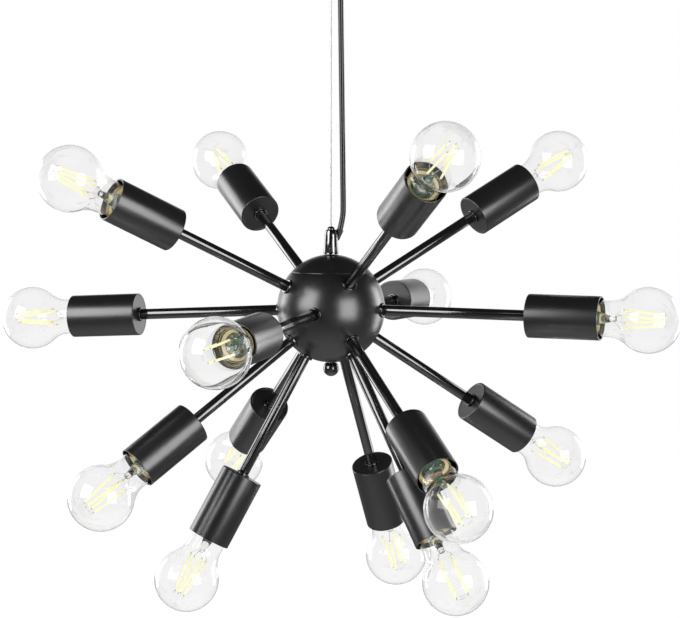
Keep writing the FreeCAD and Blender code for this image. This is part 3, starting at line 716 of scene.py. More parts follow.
class ArmPattern:
    """A Geometry Nodes tree that sets one piece on every arm, at its reach and along its direction."""

    def __init__(self) -> None:
        """Builds the tree with its named inputs."""
        self.tree = bpy.data.node_groups.new("pieces_on_arms", "GeometryNodeTree")
        kinds = {
            "Geometry": "NodeSocketGeometry",
            "Piece": "NodeSocketObject",
            "Reach": "NodeSocketFloat",
            "Centre": "NodeSocketVector",
            "Finish": "NodeSocketMaterial",
        }
        self.sockets = {
            key: self.tree.interface.new_socket(key, in_out="INPUT", socket_type=kind).identifier
            for key, kind in kinds.items()
        }
        self.tree.interface.new_socket("Geometry", in_out="OUTPUT", socket_type="NodeSocketGeometry")
        self._wire()

    def _node(self, kind: str, settings: dict | None = None, inputs: dict | None = None) -> bpy.types.Node:
        """Adds a node with its settings and its inputs."""
        node = self.tree.nodes.new(kind)
        for key, value in (settings or {}).items():
            setattr(node, key, value)
        for key, value in (inputs or {}).items():
            self.tree.links.new(value, node.inputs[key])
        return node

    def _wire(self) -> None:
        """Makes the nodes: points move out along the arms, and the piece stands on each."""
        given = self._node("NodeGroupInput").outputs
        spot = self._node("GeometryNodeInputPosition").outputs[0]
        outwards = self._node("ShaderNodeVectorMath", {"operation": "SCALE"}, {0: spot, "Scale": given["Reach"]})
        inputs = {0: outwards.outputs[0], 1: given["Centre"]}
        shifted = self._node("ShaderNodeVectorMath", {"operation": "ADD"}, inputs)
        inputs = {"Geometry": given["Geometry"], "Position": shifted.outputs[0]}
        points = self._node("GeometryNodeSetPosition", None, inputs)
        arrived = self._node("GeometryNodeInputPosition").outputs[0]
        inputs = {0: arrived, 1: given["Centre"]}
        along = self._node("ShaderNodeVectorMath", {"operation": "SUBTRACT"}, inputs)
        turn = self._node("FunctionNodeAlignRotationToVector", {"axis": "Z"}, {"Vector": along.outputs[0]})
        piece = self._node("GeometryNodeObjectInfo", None, {"Object": given["Piece"]})
        inputs = {
            "Points": points.outputs[0],
            "Instance": piece.outputs["Geometry"],
            "Rotation": turn.outputs[0],
        }
        pieces = self._node("GeometryNodeInstanceOnPoints", None, inputs)
        real = self._node("GeometryNodeRealizeInstances", None, {0: pieces.outputs[0]})
        inputs = {"Geometry": real.outputs[0], "Material": given["Finish"]}
        dressed = self._node("GeometryNodeSetMaterial", None, inputs)
        self._node("NodeGroupOutput", None, {0: dressed.outputs[0]})

    def spread(self, master: bpy.types.Object, name: str, arms: tuple[Arm, ...], reach: float,
               finish: Finish) -> bpy.types.Object:
        """One piece on each of these arms, as one plain mesh.

        Args:
            master: the piece, with its origin at reach along the arm and its +Z along it; it is used up.
            name: the new piece's name.
            arms: the arms.
            reach: the distance from the ball's centre.
            finish: the finish.

        Returns:
            The finished piece.
        """
        start = bpy.data.meshes.new(f"{name}_points")
        start.from_pydata([tuple(arm.direction) for arm in arms], [], [])
        piece = linked(name, start)
        modifier = piece.modifiers.new("on_arms", "NODES")
        modifier.node_group = self.tree
        modifier[self.sockets["Piece"]] = master
        modifier[self.sockets["Reach"]] = reach
        modifier[self.sockets["Centre"]] = HUB
        modifier[self.sockets["Finish"]] = finish.material()
        bpy.context.view_layer.update()
        evaluated = piece.evaluated_get(bpy.context.evaluated_depsgraph_get())
        mesh = bpy.data.meshes.new_from_object(evaluated)
        mesh.name = name
        piece.modifiers.clear()
        piece.data = mesh
        bpy.data.meshes.remove(start)
        removed(master)
        return piece


def dressed(node: str, finish: Finish) -> None:
    """Gives a CAD node its material."""
    for material_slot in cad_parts[node].material_slots:
        material_slot.material = finish.material()


def mounted(piece: bpy.types.Object, body: str, slot: str | None, *nodes: str) -> bpy.types.Object:
    """Makes a piece ride on a body, and stand for CAD nodes.

    Args:
        piece: the piece.
        body: the body that it rides on.
        slot: the record's material slot, or None; not used.
        nodes: the CAD nodes that it replaces.

    Returns:
        The piece.
    """
    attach(piece, body)
    if nodes:
        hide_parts(*nodes)
    log.info("%s rides on %s", piece.name, body)
    return piece


# ---------------------------------------------------------------- studio


@dataclass
class Studio:
    """Camera, floor, backdrop and soft lights."""

    lens: float = 119.96  # mm, as the sensor's width
    sensor_width: float = 36.0
    eye: Vector = HUB + Vector((0.0084, -2.1159, 0.1151))
    look_down: float = 3.13  # degrees
    floor_height: float = -2.4
    floor_size: float = 24.0
    floor_glow: float = 0.9  # only towards the camera
    light_distance: float = 1.7
    mirrored_above: float = 0.03  # the world's strength in what the lamp mirrors
    mirrored_behind: float = 1.3
    mirrored_below: float = 0.08
    even: float = 0.16  # the world's strength as light on the lamp

    def build(self) -> None:
        """Makes everything that isn't the lamp."""
        self.camera()
        self.floor()
        self.world()
        self.softbox("left_softbox", Vector((-0.743, -0.595, 0.304)), 1.15, 1.15, 5.4)
        self.softbox("right_softbox", Vector((0.601, -0.798, 0.02)), 1.1, 1.2, 4.8)
        self.softbox("left_panel", Vector((-0.84, 0.54, 0.0)), 0.6, 1.5, 4.0)
        self.softbox("right_panel", Vector((0.84, 0.54, 0.0)), 0.6, 1.5, 4.0)

    def camera(self) -> None:
        """The camera at the photograph's viewing angle."""
        data = bpy.data.cameras.new("camera")
        data.lens = self.lens
        data.sensor_width = self.sensor_width
        camera = linked("camera", data)
        camera.location = self.eye
        camera.rotation_euler = (math.radians(90 - self.look_down), 0, 0)
        bpy.context.scene.camera = camera

    def floor(self) -> None:
        """A wide pale floor that takes the lamp's shadow."""
        size = self.floor_size / 2
        mesh = bpy.data.meshes.new("floor")
        corners = [(-size, -size), (size, -size), (size, size), (-size, size)]
        mesh.from_pydata([(x, y, self.floor_height) for x, y in corners], [], [(0, 1, 2, 3)])
        material = bpy.data.materials.new("floor_paint")
        material.use_nodes = True
        shader = Shader(material.node_tree)
        seen = self.seen(shader)
        paint = shader.node("ShaderNodeBsdfDiffuse", None, {"Color": (0.8, 0.8, 0.8, 1)})
        glow = shader.node("ShaderNodeEmission", None, {"Strength": seen * self.floor_glow})
        both = shader.node("ShaderNodeAddShader", None, {0: paint.outputs[0], 1: glow.outputs[0]})
        shader.node("ShaderNodeOutputMaterial", None, {"Surface": both.outputs[0]})
        mesh.materials.append(material)
        linked("floor", mesh)

    def seen(self, shader: Shader) -> Signal:
        """1 for what the camera sees, directly or through glass."""
        rays = shader.node("ShaderNodeLightPath").outputs
        direct, through = (Signal(shader, rays[f"Is {kind} Ray"]) for kind in ("Camera", "Transmission"))
        return direct.calculated("MAXIMUM", direct, through)

    def world(self) -> None:
        """White round the lamp, dark above it for what it mirrors, and even light on it."""
        world = bpy.data.worlds.new("studio")
        bpy.context.scene.world = world
        world.use_nodes = True
        shader = Shader(world.node_tree)
        _, y, z = shader.axes(shader.node("ShaderNodeTexCoord").outputs["Generated"])
        rays = shader.node("ShaderNodeLightPath").outputs
        glossy = Signal(shader, rays["Is Glossy Ray"])
        seen = self.seen(shader)
        behind = y.between(0.0, 0.5) * (1 - z.between(0.1, 0.5)) * (1 - 0.6 * (1 - z.between(-0.8, -0.2)))
        below = 1 - z.between(-0.6, -0.1)
        mirrored = self.mirrored_above + behind * self.mirrored_behind + below * self.mirrored_below
        strength = seen + (1 - seen) * (glossy * mirrored + (1 - glossy) * self.even)
        background = shader.node("ShaderNodeBackground", None, {"Color": (1, 1, 1, 1), "Strength": strength})
        shader.node("ShaderNodeOutputWorld", None, {"Surface": background.outputs[0]})

    def softbox(self, name: str, way: Vector, width: float, height: float, brightness: float) -> None:
        """A soft rectangular light that faces the ball.

        Args:
            name: the light's name.
            way: its direction from the ball.
            width: its width.
            height: its height.
            brightness: its brightness, where 1 is white.
        """
        data = bpy.data.lights.new(name, "AREA")
        data.shape = "RECTANGLE"
        data.size = width
        data.size_y = height
        data.energy = brightness * math.pi * width * height
        light = linked(name, data)
        light.location = HUB + way.normalized() * self.light_distance
        light.rotation_euler = way.to_track_quat("Z", "Y").to_euler()
        light.visible_camera = False
        light.visible_transmission = False


# ---------------------------------------------------------------- wire, cord and gripper


@dataclass
class Suspension:
    """The steel wire, the power cord and the gripper that holds the ball on the wire."""

    wire_radius: float = 0.75 * MM
    wire_length: float = 0.28407
    cord_radius: float = 2.75 * MM
    cord_length: float = 0.2409
    relief_tilt: float = 15.7
    relief_out: float = 8.9 * MM
    relief_rise: float = 73.5 * MM
    rib_steps: int = 14
    plunger_travel: float = 1.8 * MM

    def build(self) -> None:
        """Makes the cords first, and then the pieces that they run through."""
        self.wire()
        self.cord()
        self.gripper()
        self.plunger()
        self.relief()
        dressed("gripper_balls", ZINC)
        dressed("gripper_spring", ZINC)
        dressed("wire_ball_end", ZINC)
        self.spring()

    @property
    def relief_axis(self) -> Vector:
        """The direction in which the strain relief opens."""
        tilt = math.radians(self.relief_tilt)
        return CORD_OUT * math.sin(tilt) + UP * math.cos(tilt)

    @property
    def relief_mouth(self) -> Vector:
        """The middle of the strain relief's mouth."""
        return HUB + CORD_OUT * self.relief_out + UP * self.relief_rise

    def line(self, name: str, points: list[Vector], radius: float, finish: Finish) -> bpy.types.Object:
        """A round cord whose smooth line has these control points.

        Args:
            name: the cord's name.
            points: the control points of its spline.
            radius: its radius.
            finish: its finish.

        Returns:
            The cord, a curve of one open spline.
        """
        curve = bpy.data.curves.new(name, "CURVE")
        curve.dimensions = "3D"
        curve.bevel_depth = radius
        curve.bevel_resolution = 6
        curve.use_fill_caps = True
        curve.resolution_u = 24
        spline = curve.splines.new("NURBS")
        spline.points.add(len(points) - 1)
        for control, point in zip(spline.points, points):
            control.co = (*point, 1)
        spline.order_u = 3
        spline.use_endpoint_u = True
        curve.materials.append(finish.material())
        return linked(name, curve)

    def wire(self) -> None:
        """The steel wire, straight from its ball end to its tail inside the ball."""
        points = [Vector(point) for point in WIRE_ROUTE]
        wire = self.line("steel_wire", points, self.wire_radius, WIRE_STEEL)
        mounted(wire, "wire", "wire_steel", "suspension_wire")

    def cord(self) -> None:
        """The power cord, out of the canopy's gland, down beside the wire and into its strain relief."""
        points = [Vector(point) for point in CORD_ROUTE]
        cord = self.line("power_cord_line", points, self.cord_radius, JACKET)
        mounted(cord, "lamp", "cord_jacket", "power_cord")

    def gripper(self) -> None:
        """The tapered gripper, with its rounded shoulder and the groove round its foot."""
        base = HUB_RADIUS + 0.1 * MM
        side = [(7.3 * MM, base + 0.3 * MM), (7.25 * MM, base + 1.2 * MM), (6.95 * MM, base + 1.5 * MM),
                (7.1 * MM, base + 1.9 * MM)]
        waist = (6.2 * MM, base + 17 * MM)
        top = (4.7 * MM, base + 23 * MM)
        shoulder = [(waist[0] + (top[0] - waist[0]) * t + 0.22 * MM * math.sin(math.pi * t),
                     waist[1] + (top[1] - waist[1]) * t) for t in (0, 0.2, 0.4, 0.6, 0.8, 0.95)]
        bore = [(4.5 * MM, base + 23 * MM), (3.8 * MM, base + 22.9 * MM), (3.6 * MM, base + 20 * MM),
                (2.3 * MM, base + 20 * MM), (2.3 * MM, base + 17.6 * MM), (3.35 * MM, base + 14.6 * MM),
                (3.35 * MM, base + 6.5 * MM), (1 * MM, base + 6.5 * MM), (1 * MM, base + 5.2 * MM),
                (4.1 * MM, base + 5.1 * MM), (4.1 * MM, base), (7.0 * MM, base)]
        body = turned("gripper_cone", side + shoulder + bore, BLACK_CHROME, 72)
        body.data.transform(ON_BALL)
        mounted(body, "lamp", "black_chrome", "gripper_body")

    def spring(self) -> None:
        """Gives the gripper's spring a mesh of its own."""
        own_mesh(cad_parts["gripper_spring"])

    def plunger(self) -> None:
        """The small domed plunger on top of the gripper."""
        low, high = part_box("gripper_plunger")
        top, foot = high.z - HUB.z, low.z - HUB.z
        edge = top - 2.4 * MM
        dome = [(1 * MM + 2.5 * MM * math.cos(a), edge + 2.4 * MM * math.sin(a))
                for a in (math.radians(d) for d in (0, 15, 30, 45, 60, 75, 90))]
        outline = [(1 * MM, foot), (2.2 * MM, foot), (2.2 * MM, edge - 1.6 * MM), (3.35 * MM, edge - 1.6 * MM),
                   (3.5 * MM, edge - 1.45 * MM), *dome]
        piece = turned("gripper_button", outline, GLOSS_BLACK, 48)
        piece.data.transform(ON_BALL)
        mounted(piece, "plunger", "black_chrome", "gripper_plunger")

    def relief(self) -> None:
        """The ribbed strain relief beside the gripper."""
        mouth, foot, length = 3.5 * MM, 1.9 * MM, 10 * MM
        ribs = []
        for step in range(self.rib_steps + 1):
            share = step / self.rib_steps
            groove = 0.16 * MM if step % 2 else 0
            ribs.append((foot + (mouth - foot) * share - groove, -length + length * share * 0.97))
        outline = [(0, -length), *ribs, (mouth - 0.15 * MM, 0), (2.85 * MM, 0), (2.85 * MM, -2.6 * MM),
                   (0, -2.6 * MM)]
        piece = turned("ribbed_relief", outline, BLACK_NYLON, 40)
        turn = UP.rotation_difference(self.relief_axis).to_matrix().to_4x4()
        piece.data.transform(Matrix.Translation(self.relief_mouth) @ turn)
        mounted(piece, "lamp", "black_plastic", "cord_strain_relief")


# ---------------------------------------------------------------- ball and arms


@dataclass
class Ball:
    """The hollow ball in two shells, with its finial."""

    wall: float = 1.2 * MM
    seam: float = 33.5 * MM
    gap: float = 0.3 * MM
    edge: float = 0.35 * MM  # rounding of the two rims at the seam
    pole: float = 4.1 * MM  # radius of the holes at the top and the foot

    def build(self) -> None:
        """Makes both shells and the finial."""
        self.shell()
        self.lid()
        self.finial()
        dressed("hub_nuts", ZINC)
        dressed("hub_stem", ZINC)

    @property
    def inner(self) -> float:
        """The radius inside the wall."""
        return HUB_RADIUS - self.wall

    def latitude(self, height: float, radius: float) -> float:
        """The angle above the equator, in degrees, of a height on a sphere."""
        return math.degrees(math.asin(height / radius))

    def polar_angle(self, distance: float, radius: float) -> float:
        """The same angle for a point at a distance from the axis."""
        return math.degrees(math.acos(distance / radius))

    def rim_radius(self, rim: float) -> float:
        """The radius of a rim's flat edge at a height."""
        return math.sqrt(HUB_RADIUS**2 - rim**2) - self.edge * 0.7

    def shell(self) -> None:
        """The lower shell, with a rolled rim."""
        rim = self.seam - self.gap / 2
        top = self.latitude(rim - self.edge, HUB_RADIUS)
        outer = arc((0, 0), HUB_RADIUS, -self.polar_angle(self.pole, HUB_RADIUS), top, 60)
        edge_out = self.rim_radius(rim)
        inside = arc((0, 0), self.inner, self.latitude(rim, self.inner), -self.polar_angle(self.pole, self.inner), 30)
        piece = turned("lower_shell", [*outer, (edge_out + 0.25 * MM, rim - 0.1 * MM), (edge_out, rim), *inside],
                       SATIN_BLACK, 128)
        piece.data.transform(ON_BALL)
        mounted(piece, "lamp", "satin_black", "hub_shell")

    def lid(self) -> None:
        """The cap of the ball, with its spigot inside the shell."""
        rim = self.seam + self.gap / 2
        outer = arc((0, 0), HUB_RADIUS, self.latitude(rim + self.edge, HUB_RADIUS),
                    self.polar_angle(self.pole, HUB_RADIUS), 28)
        lip = math.sqrt(self.inner**2 - rim**2) - self.wall
        inside = arc((0, 0), self.inner, self.polar_angle(self.pole, self.inner),
                     self.polar_angle(lip - self.wall, self.inner), 16)
        spigot = [(lip - self.wall, rim - 3 * MM), (lip, rim - 3 * MM), (lip, rim), (self.rim_radius(rim), rim)]
        piece = turned("upper_shell", [*outer, *inside, *spigot], SATIN_BLACK, 128)
        piece.data.transform(ON_BALL)
        mounted(piece, "lamp", "satin_black", "hub_lid")

    def finial(self) -> None:
        """The small polished ball under the shell."""
        radius, centre = 7.4 * MM, -HUB_RADIUS - 5.7 * MM
        top = -HUB_RADIUS - 0.1 * MM
        outer = arc((0, centre), radius, -90, self.latitude(top - centre, radius), 28)
        outline = [(0, centre - radius), *outer[1:], (self.pole, top), (self.pole, top - 4.9 * MM),
                   (0, top - 4.9 * MM)]
        piece = turned("finial_knob", outline, GLOSS_BLACK, 64)
        piece.data.transform(ON_BALL)
        mounted(piece, "lamp", "gloss_black", "finial_ball")


@dataclass
class ArmSet:
    """The tubular arms with their collars at the ball and at the cups."""

    pattern: ArmPattern
    bore: float = 4 * MM
    inside: float = 7.5 * MM  # how far a tube goes into the ball
    thread: float = 5.5 * MM  # how far it goes into the cup

    def build(self) -> None:
        """Makes the tubes tier by tier, and the collars of every arm."""
        for tier in Tier:
            self.tubes(tier)
        self.hub_collars()
        self.cup_collars()

    def tubes(self, tier: Tier) -> None:
        """The tubes of one tier."""
        start = HUB_RADIUS - self.inside
        length = tier.reach + self.thread - start
        outline = rounded([(self.bore, 0, 0), (ARM_RADIUS, 0, 0.2 * MM), (ARM_RADIUS, length, 0.2 * MM),
                           (self.bore, length, 0)], 2)
        master = turned("arm_tube", outline, GLOSS_BLACK, 40)
        piece = self.pattern.spread(master, f"{tier.node}_tubes", arms_of(tier), start, GLOSS_BLACK)
        mounted(piece, "lamp", "gloss_black", f"arms_{tier.node}")

    def hub_collars(self) -> None:
        """The rounded collars where the arms leave the ball."""
        bore, outer, height = ARM_RADIUS + 0.05 * MM, 6.9 * MM, 1.5 * MM
        outline = rounded([(bore, -0.25 * MM, 0), (outer, -0.45 * MM, 0), (outer, height, 0.6 * MM),
                           (bore, height, 0.25 * MM)], 5)
        master = turned("collar", outline, GLOSS_BLACK, 48)
        piece = self.pattern.spread(master, "ball_collars", ARMS, HUB_RADIUS, GLOSS_BLACK)
        mounted(piece, "lamp", "gloss_black", "hub_collars")

    def cup_collars(self) -> None:
        """The collars against the backs of the cups; the tiers reach unequally far, so each has its own."""
        bore, outer, height = ARM_RADIUS + 0.05 * MM, 6.6 * MM, 2.2 * MM
        rings = []
        for tier in Tier:
            outline = rounded([(bore, -height, 0.2 * MM), (outer, -height, 0.6 * MM), (outer, -0.05 * MM, 0.2 * MM),
                               (bore, -0.05 * MM, 0)], 5)
            master = turned("cup_ring", outline, GLOSS_BLACK, 48)
            name = f"{tier.node}_cup_rings"
            rings.append(self.pattern.spread(master, name, arms_of(tier), tier.reach, GLOSS_BLACK))
        piece = joined("cup_ring_set", rings)
        mounted(piece, "lamp", "gloss_black", "cup_collars")


# ---------------------------------------------------------------- cups, holders and bulbs


@dataclass
class Cups:
    """The cylindrical cups and the lamp holders inside them."""

    radius: float = 20 * MM
    length: float = 67 * MM
    wall: float = 1.2 * MM
    floor: float = 1.5 * MM
    edge: float = 1.3 * MM
    hole: float = 5.1 * MM  # for the arm
    holder_radius: float = 17 * MM
    holder_length: float = 55 * MM
    holder_bore: float = 13.6 * MM
    contact: float = 32 * MM

    def build(self) -> None:
        """Makes one cup for each arm and all the lamp holders."""
        master = self.cup()
        for arm in ARMS:
            cup = copied(master, f"cup_shell_{arm.name}", arm.cup_place)
            mounted(cup, "lamp", "satin_black", f"cup_{arm.name}")
        removed(master)
        self.holders()

    def cup(self) -> bpy.types.Object:
        """One cup: a deep drawn can with a rounded back edge and a small step round its back."""
        inner = self.radius - self.wall
        corners = [
            (self.hole, 0.12 * MM, 0),
            (self.radius - self.edge - 0.9 * MM, 0.12 * MM, 0.1 * MM),
            (self.radius - self.edge - 0.7 * MM, 0, 0.1 * MM),
            (self.radius, 0, self.edge),
            (self.radius, self.length, 0.35 * MM),
            (inner, self.length, 0.25 * MM),
            (inner, self.floor, 0.6 * MM),
            (self.hole, self.floor, 0),
        ]
        return turned("cup_pattern", rounded(corners, 6), SATIN_BLACK, 96)

    def holders(self) -> None:
        """The black lamp holders."""
        start, end = self.floor, self.floor + self.holder_length
        corners = [
            (self.hole, start, 0),
            (self.holder_radius, start, 0.4 * MM),
            (self.holder_radius, end, 0.6 * MM),
            (self.holder_bore, end, 0.5 * MM),
            (self.holder_bore, self.contact, 0),
            (self.hole, self.contact, 0),
        ]
        master = turned("holder_pattern", rounded(corners, 4), BLACK_NYLON, 64)
        holders = [copied(master, f"holder_{arm.name}", arm.cup_place) for arm in ARMS]
        removed(master)
        mounted(joined("holder_set", holders), "lamp", "black_plastic", "lamp_holders")


@dataclass
class Bulbs:
    """Clear globe bulbs: envelope, glass stem, screw cap, driver board and four filaments."""

    radius: float = 30 * MM
    centre: float = 110 * MM
    neck: float = 16.5 * MM
    shoulder: float = 26 * MM
    glass: float = 0.8 * MM
    foot: float = 58.1 * MM
    cap_radius: float = 13.2 * MM
    cap_tip: float = 32.3 * MM
    filament_foot: float = 9.0 * MM  # distance of the filaments' lower ends from the axis
    filament_head: float = 6.2 * MM

    def build(self) -> None:
        """Makes the three parts of a bulb once and sets them on every arm."""
        parts = {
            "envelope": self.envelope(),
            "base": self.base(),
            "filaments": self.filaments(),
        }
        for arm in ARMS:
            for name, master in parts.items():
                piece = copied(master, f"{name}_{arm.name}", arm.cup_place)
                replaced = (f"bulb_{arm.name}",) if name == "envelope" else ()
                slot = "clear_glass" if name == "envelope" else None
                mounted(piece, f"bulb_{arm.name}", slot, *replaced)
        removed(*parts.values())

    def globe(self, inset: float, steps: int) -> list[tuple]:
        """The envelope's outline from its foot to its tip.

        Args:
            inset: how far it lies inside the outer surface.
            steps: how many pieces the globe has.

        Returns:
            The points.
        """
        radius, neck, shoulder = self.radius - inset, self.neck - inset, self.shoulder + inset
        out = neck + shoulder
        fall = math.sqrt((radius + shoulder) ** 2 - out**2)
        meet = math.degrees(math.atan2(fall, out))
        hollow = arc((out, self.centre - fall), shoulder, 180, 180 - meet, 14)
        ball = arc((0, self.centre), radius, -meet, 90, steps)
        return [(neck, self.foot), *hollow, *ball[1:-1], (0, self.centre + radius)]

    def envelope(self) -> bpy.types.Object:
        """The blown glass with its wall, and the glass stem inside it."""
        outside = self.globe(0, 40)
        inside = self.globe(self.glass, 40)
        shell = turned("envelope_pattern", outside + inside[::-1], CLEAR_GLASS, 72, Smooth.ROUND)
        base = self.foot + 0.2 * MM
        stem = rounded([(0, base, 0), (12.5 * MM, base, 0), (6.5 * MM, base + 5 * MM, 3 * MM),
                        (3.2 * MM, base + 17 * MM, 4 * MM), (2.4 * MM, base + 23 * MM, 1.5 * MM),
                        (0, base + 23.5 * MM, 0)], 6)
        support = turned("stem_pattern", stem, CLEAR_GLASS, 32, Smooth.ROUND)
        return joined("envelope_pattern", [shell, support])

    def base(self) -> bpy.types.Object:
        """The screw cap with its thread, the insulator and tip, and what shows inside the neck."""
        insulator = turned(
            "insulator",
            rounded([(0, self.cap_tip + 0.6 * MM, 0), (4.5 * MM, self.cap_tip + 0.4 * MM, 0),
                     (10.5 * MM, self.cap_tip + 4.2 * MM, 1 * MM), (10.5 * MM, self.cap_tip + 6 * MM, 0),
                     (0, self.cap_tip + 6 * MM, 0)], 4),
            BLACK_NYLON, 40)
        tip = turned(
            "tip_contact",
            rounded([(0, self.cap_tip, 0), (4.6 * MM, self.cap_tip, 0.8 * MM), (4.6 * MM, self.cap_tip + 1.2 * MM, 0),
                     (0, self.cap_tip + 1.2 * MM, 0)], 4),
            BRIGHT_NICKEL, 32)
        rim = turned(
            "cap_rim",
            rounded([(0, 57.2 * MM, 0), (14.2 * MM, 57.2 * MM, 0), (15.6 * MM, 57.9 * MM, 0.4 * MM),
                     (15.6 * MM, 59.6 * MM, 0.2 * MM), (15.2 * MM, 59.6 * MM, 0), (14.8 * MM, 58.2 * MM, 0),
                     (0, 58.2 * MM, 0)], 3),
            BLACK_NYLON, 48)
        liner = turned(
            "brass_liner",
            rounded([(10.6 * MM, 58.3 * MM, 0), (15.1 * MM, 58.3 * MM, 0), (15.3 * MM, 63.4 * MM, 0.1 * MM),
                     (14.9 * MM, 63.4 * MM, 0.1 * MM), (14.2 * MM, 60.4 * MM, 0.8 * MM),
                     (10.6 * MM, 59.2 * MM, 0.3 * MM)], 4),
            BRASS, 48)
        board = turned("board", rounded([(0, 58.3 * MM, 0), (10.4 * MM, 58.3 * MM, 0), (10.4 * MM, 59.5 * MM, 0.2 * MM),
                                         (0, 59.5 * MM, 0)], 2), BOARD_GREEN, 40)
        return joined("base_pattern", [self.thread(), insulator, tip, rim, liner, board, *self.components()])

    def components(self) -> list[bpy.types.Object]:
        """The small parts on the driver board round the glass stem."""
        board = 59.5 * MM
        spots = (  # (turn in degrees, distance, width, depth, height, finish), in millimetres
            (-112, 5.2, 6.4, 6.4, 4.4, WHITE_CERAMIC),
            (-62, 7.8, 2.2, 1.6, 1.4, BLACK_NYLON),
            (-30, 6.4, 2.4, 3.2, 2.2, COPPER),
            (0, 8.2, 1.4, 1.8, 2.8, BRIGHT_NICKEL),
            (26, 5.6, 1.8, 2.6, 1.6, WHITE_CERAMIC),
            (52, 8.0, 1.6, 2.2, 1.2, BLACK_NYLON),
            (74, 4.6, 2.6, 1.4, 2.0, BRIGHT_NICKEL),
            (96, 7.8, 2.2, 1.8, 2.4, COPPER),
            (124, 5.4, 1.6, 2.4, 1.4, BLACK_NYLON),
            (146, 8.2, 1.6, 1.6, 2.6, WHITE_CERAMIC),
            (172, 6.0, 2.8, 1.6, 1.8, BRIGHT_NICKEL),
            (206, 8.2, 1.8, 2.2, 1.6, COPPER),
        )
        pieces = []
        for turn, out, width, depth, height, finish in spots:
            half = Vector((width, depth, 0)) * MM / 2
            corners = [(x * half.x, y * half.y, board + z * height * MM)
                       for z in (0, 1) for x, y in ((-1, -1), (1, -1), (1, 1), (-1, 1))]
            faces = [(3, 2, 1, 0), (4, 5, 6, 7), (0, 1, 5, 4), (1, 2, 6, 5), (2, 3, 7, 6), (3, 0, 4, 7)]
            piece = meshed("component", corners, faces, finish, Smooth.FLAT)
            angle = math.radians(turn)
            spot = polar(out, angle) * MM
            piece.data.transform(Matrix.Translation(spot) @ Matrix.Rotation(angle * 0.6, 4, "Z"))
            pieces.append(piece)
        return pieces

    def thread(self) -> bpy.types.Object:
        """The cap's rolled screw thread: its radius swells along a helix."""
        around, rings = 48, 56
        pitch, depth, low, high = 3.6 * MM, 0.9 * MM, self.cap_tip + 5.5 * MM, 57.2 * MM
        vertices = []
        for ring in range(rings + 1):
            z = low + (high - low) * ring / rings
            fade = min(1.0, ring / 5, (rings - ring) / 8)
            for step in range(around):
                angle = 2 * math.pi * step / around
                wave = 0.5 + 0.5 * math.sin(2 * math.pi * z / pitch - angle)
                r = self.cap_radius - depth * fade * (1 - wave)
                vertices.append((r * math.cos(angle), r * math.sin(angle), z))
        faces = [
            (ring * around + step, ring * around + (step + 1) % around,
             (ring + 1) * around + (step + 1) % around, (ring + 1) * around + step)
            for ring in range(rings) for step in range(around)
        ]
        faces += [tuple(range(around))[::-1], tuple(range(rings * around, (rings + 1) * around))]
        return meshed("thread", vertices, faces, BRIGHT_NICKEL, Smooth.ROUND)

    def filaments(self) -> bpy.types.Object:
        """Four coated filaments in two leaning pairs, their steel ends and the wires that hold them."""
        low, high = self.centre - 24 * MM, self.centre + 15 * MM
        stem_top = self.foot + 23 * MM
        pieces = []
        for index in range(4):
            foot_turn = math.radians(45 + 90 * index)
            lean = 18 if index % 2 else -18
            head_turn = foot_turn - math.radians(lean)
            foot = polar(self.filament_foot, foot_turn, low)
            head = polar(self.filament_head, head_turn, high)
            way = (head - foot).normalized()
            pieces.append(rod("filament", foot + way * 1.6 * MM, head - way * 1.6 * MM, 1.0 * MM, FILAMENT_COAT, 12))
            pieces.append(rod("foot_clip", foot, foot + way * 2 * MM, 0.6 * MM, ZINC, 8))
            pieces.append(rod("head_clip", head - way * 2 * MM, head, 0.6 * MM, ZINC, 8))
            collar = polar(1.6 * MM, foot_turn, stem_top - 3 * MM)
            pieces.append(rod("foot_wire", collar, foot, 0.22 * MM, BRIGHT_NICKEL, 6))
        for turn in (0, 180):
            ends = [math.radians(turn + side) for side in (-27, 27)]
            first, last = (polar(self.filament_head, angle, high) for angle in ends)
            pieces.append(rod("head_bridge", first, last, 0.25 * MM, BRIGHT_NICKEL, 6))
        return joined("filament_pattern", pieces)


# ---------------------------------------------------------------- ceiling fitting


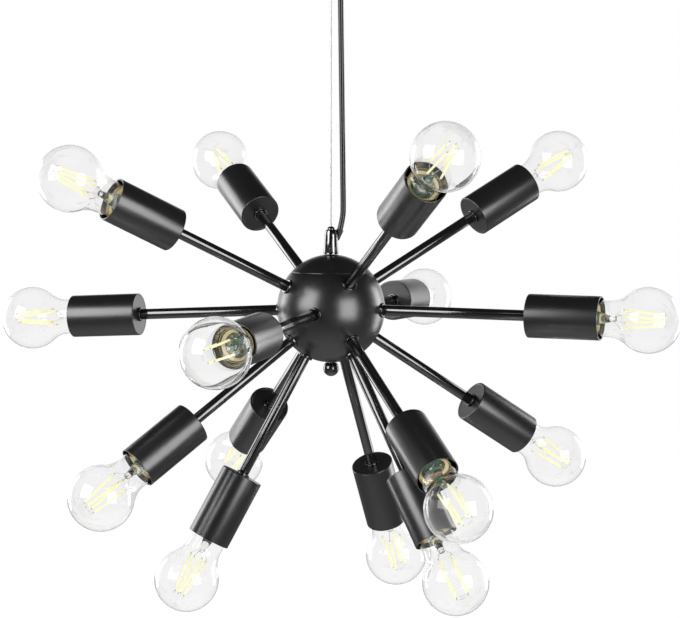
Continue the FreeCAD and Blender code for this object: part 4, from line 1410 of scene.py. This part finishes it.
@dataclass
class Canopy:
    """The canopy and what hangs and clamps the wire and the cord in it."""

    radius: float = 55 * MM
    depth: float = 28 * MM
    wall: float = 1.2 * MM
    edge: float = 5 * MM
    cord_out: float = 9.4  # mm from the wire

    def build(self) -> None:
        """Makes the canopy and the gland, and dresses the fittings."""
        self.cover()
        self.gland()
        for node in ("ceiling_bracket", "wire_holder", "holder_lock_nuts"):
            dressed(node, ZINC)
        dressed("canopy_screws", SATIN_BLACK)
        dressed("terminal_block", WHITE_CERAMIC)

    def cover(self) -> None:
        """The drawn cover with its rounded lower edge."""
        inner = self.radius - self.wall
        corners = [
            (4.1 * MM, -self.depth, 0.1 * MM),
            (self.radius, -self.depth, self.edge),
            (self.radius, 0, 0.3 * MM),
            (inner, 0, 0),
            (inner, -self.depth + self.wall, self.edge - self.wall),
            (4.1 * MM, -self.depth + self.wall, 0),
        ]
        piece = turned("canopy_cover", rounded(corners, 10), SATIN_BLACK, 128)
        mounted(piece, "ceiling", "satin_black", "ceiling_canopy")

    def gland(self) -> None:
        """The cord's gland, ribbed for the fingers."""
        top, low = -self.depth, -self.depth - 10 * MM
        outline = rounded([(2.8 * MM, low, 0.2 * MM), (3.6 * MM, low, 0.3 * MM), (4.2 * MM, top - 1 * MM, 0.4 * MM),
                           (4.2 * MM, top, 0), (3 * MM, top, 0), (3 * MM, top + self.wall, 0),
                           (4.2 * MM, top + self.wall, 0), (4.2 * MM, top + self.wall + 2.4 * MM, 0.3 * MM),
                           (2.8 * MM, top + self.wall + 2.4 * MM, 0)], 3)
        piece = turned("cord_gland", outline, BLACK_NYLON, 40)
        piece.data.transform(Matrix.Translation(CORD_OUT * self.cord_out * MM))
        mounted(piece, "ceiling", "black_plastic", "canopy_cord_gland")


# ---------------------------------------------------------------- the lamp


def main() -> None:
    """Builds the studio and the lamp."""
    logging.basicConfig(level=logging.INFO, format="%(name)s: %(message)s")
    bpy.context.scene.view_settings.view_transform = "Standard"
    Studio().build()
    Suspension().build()
    Ball().build()
    ArmSet(ArmPattern()).build()
    Cups().build()
    Bulbs().build()
    Canopy().build()
    bpy.context.view_layer.update()


if __name__ == "__main__":
    main()
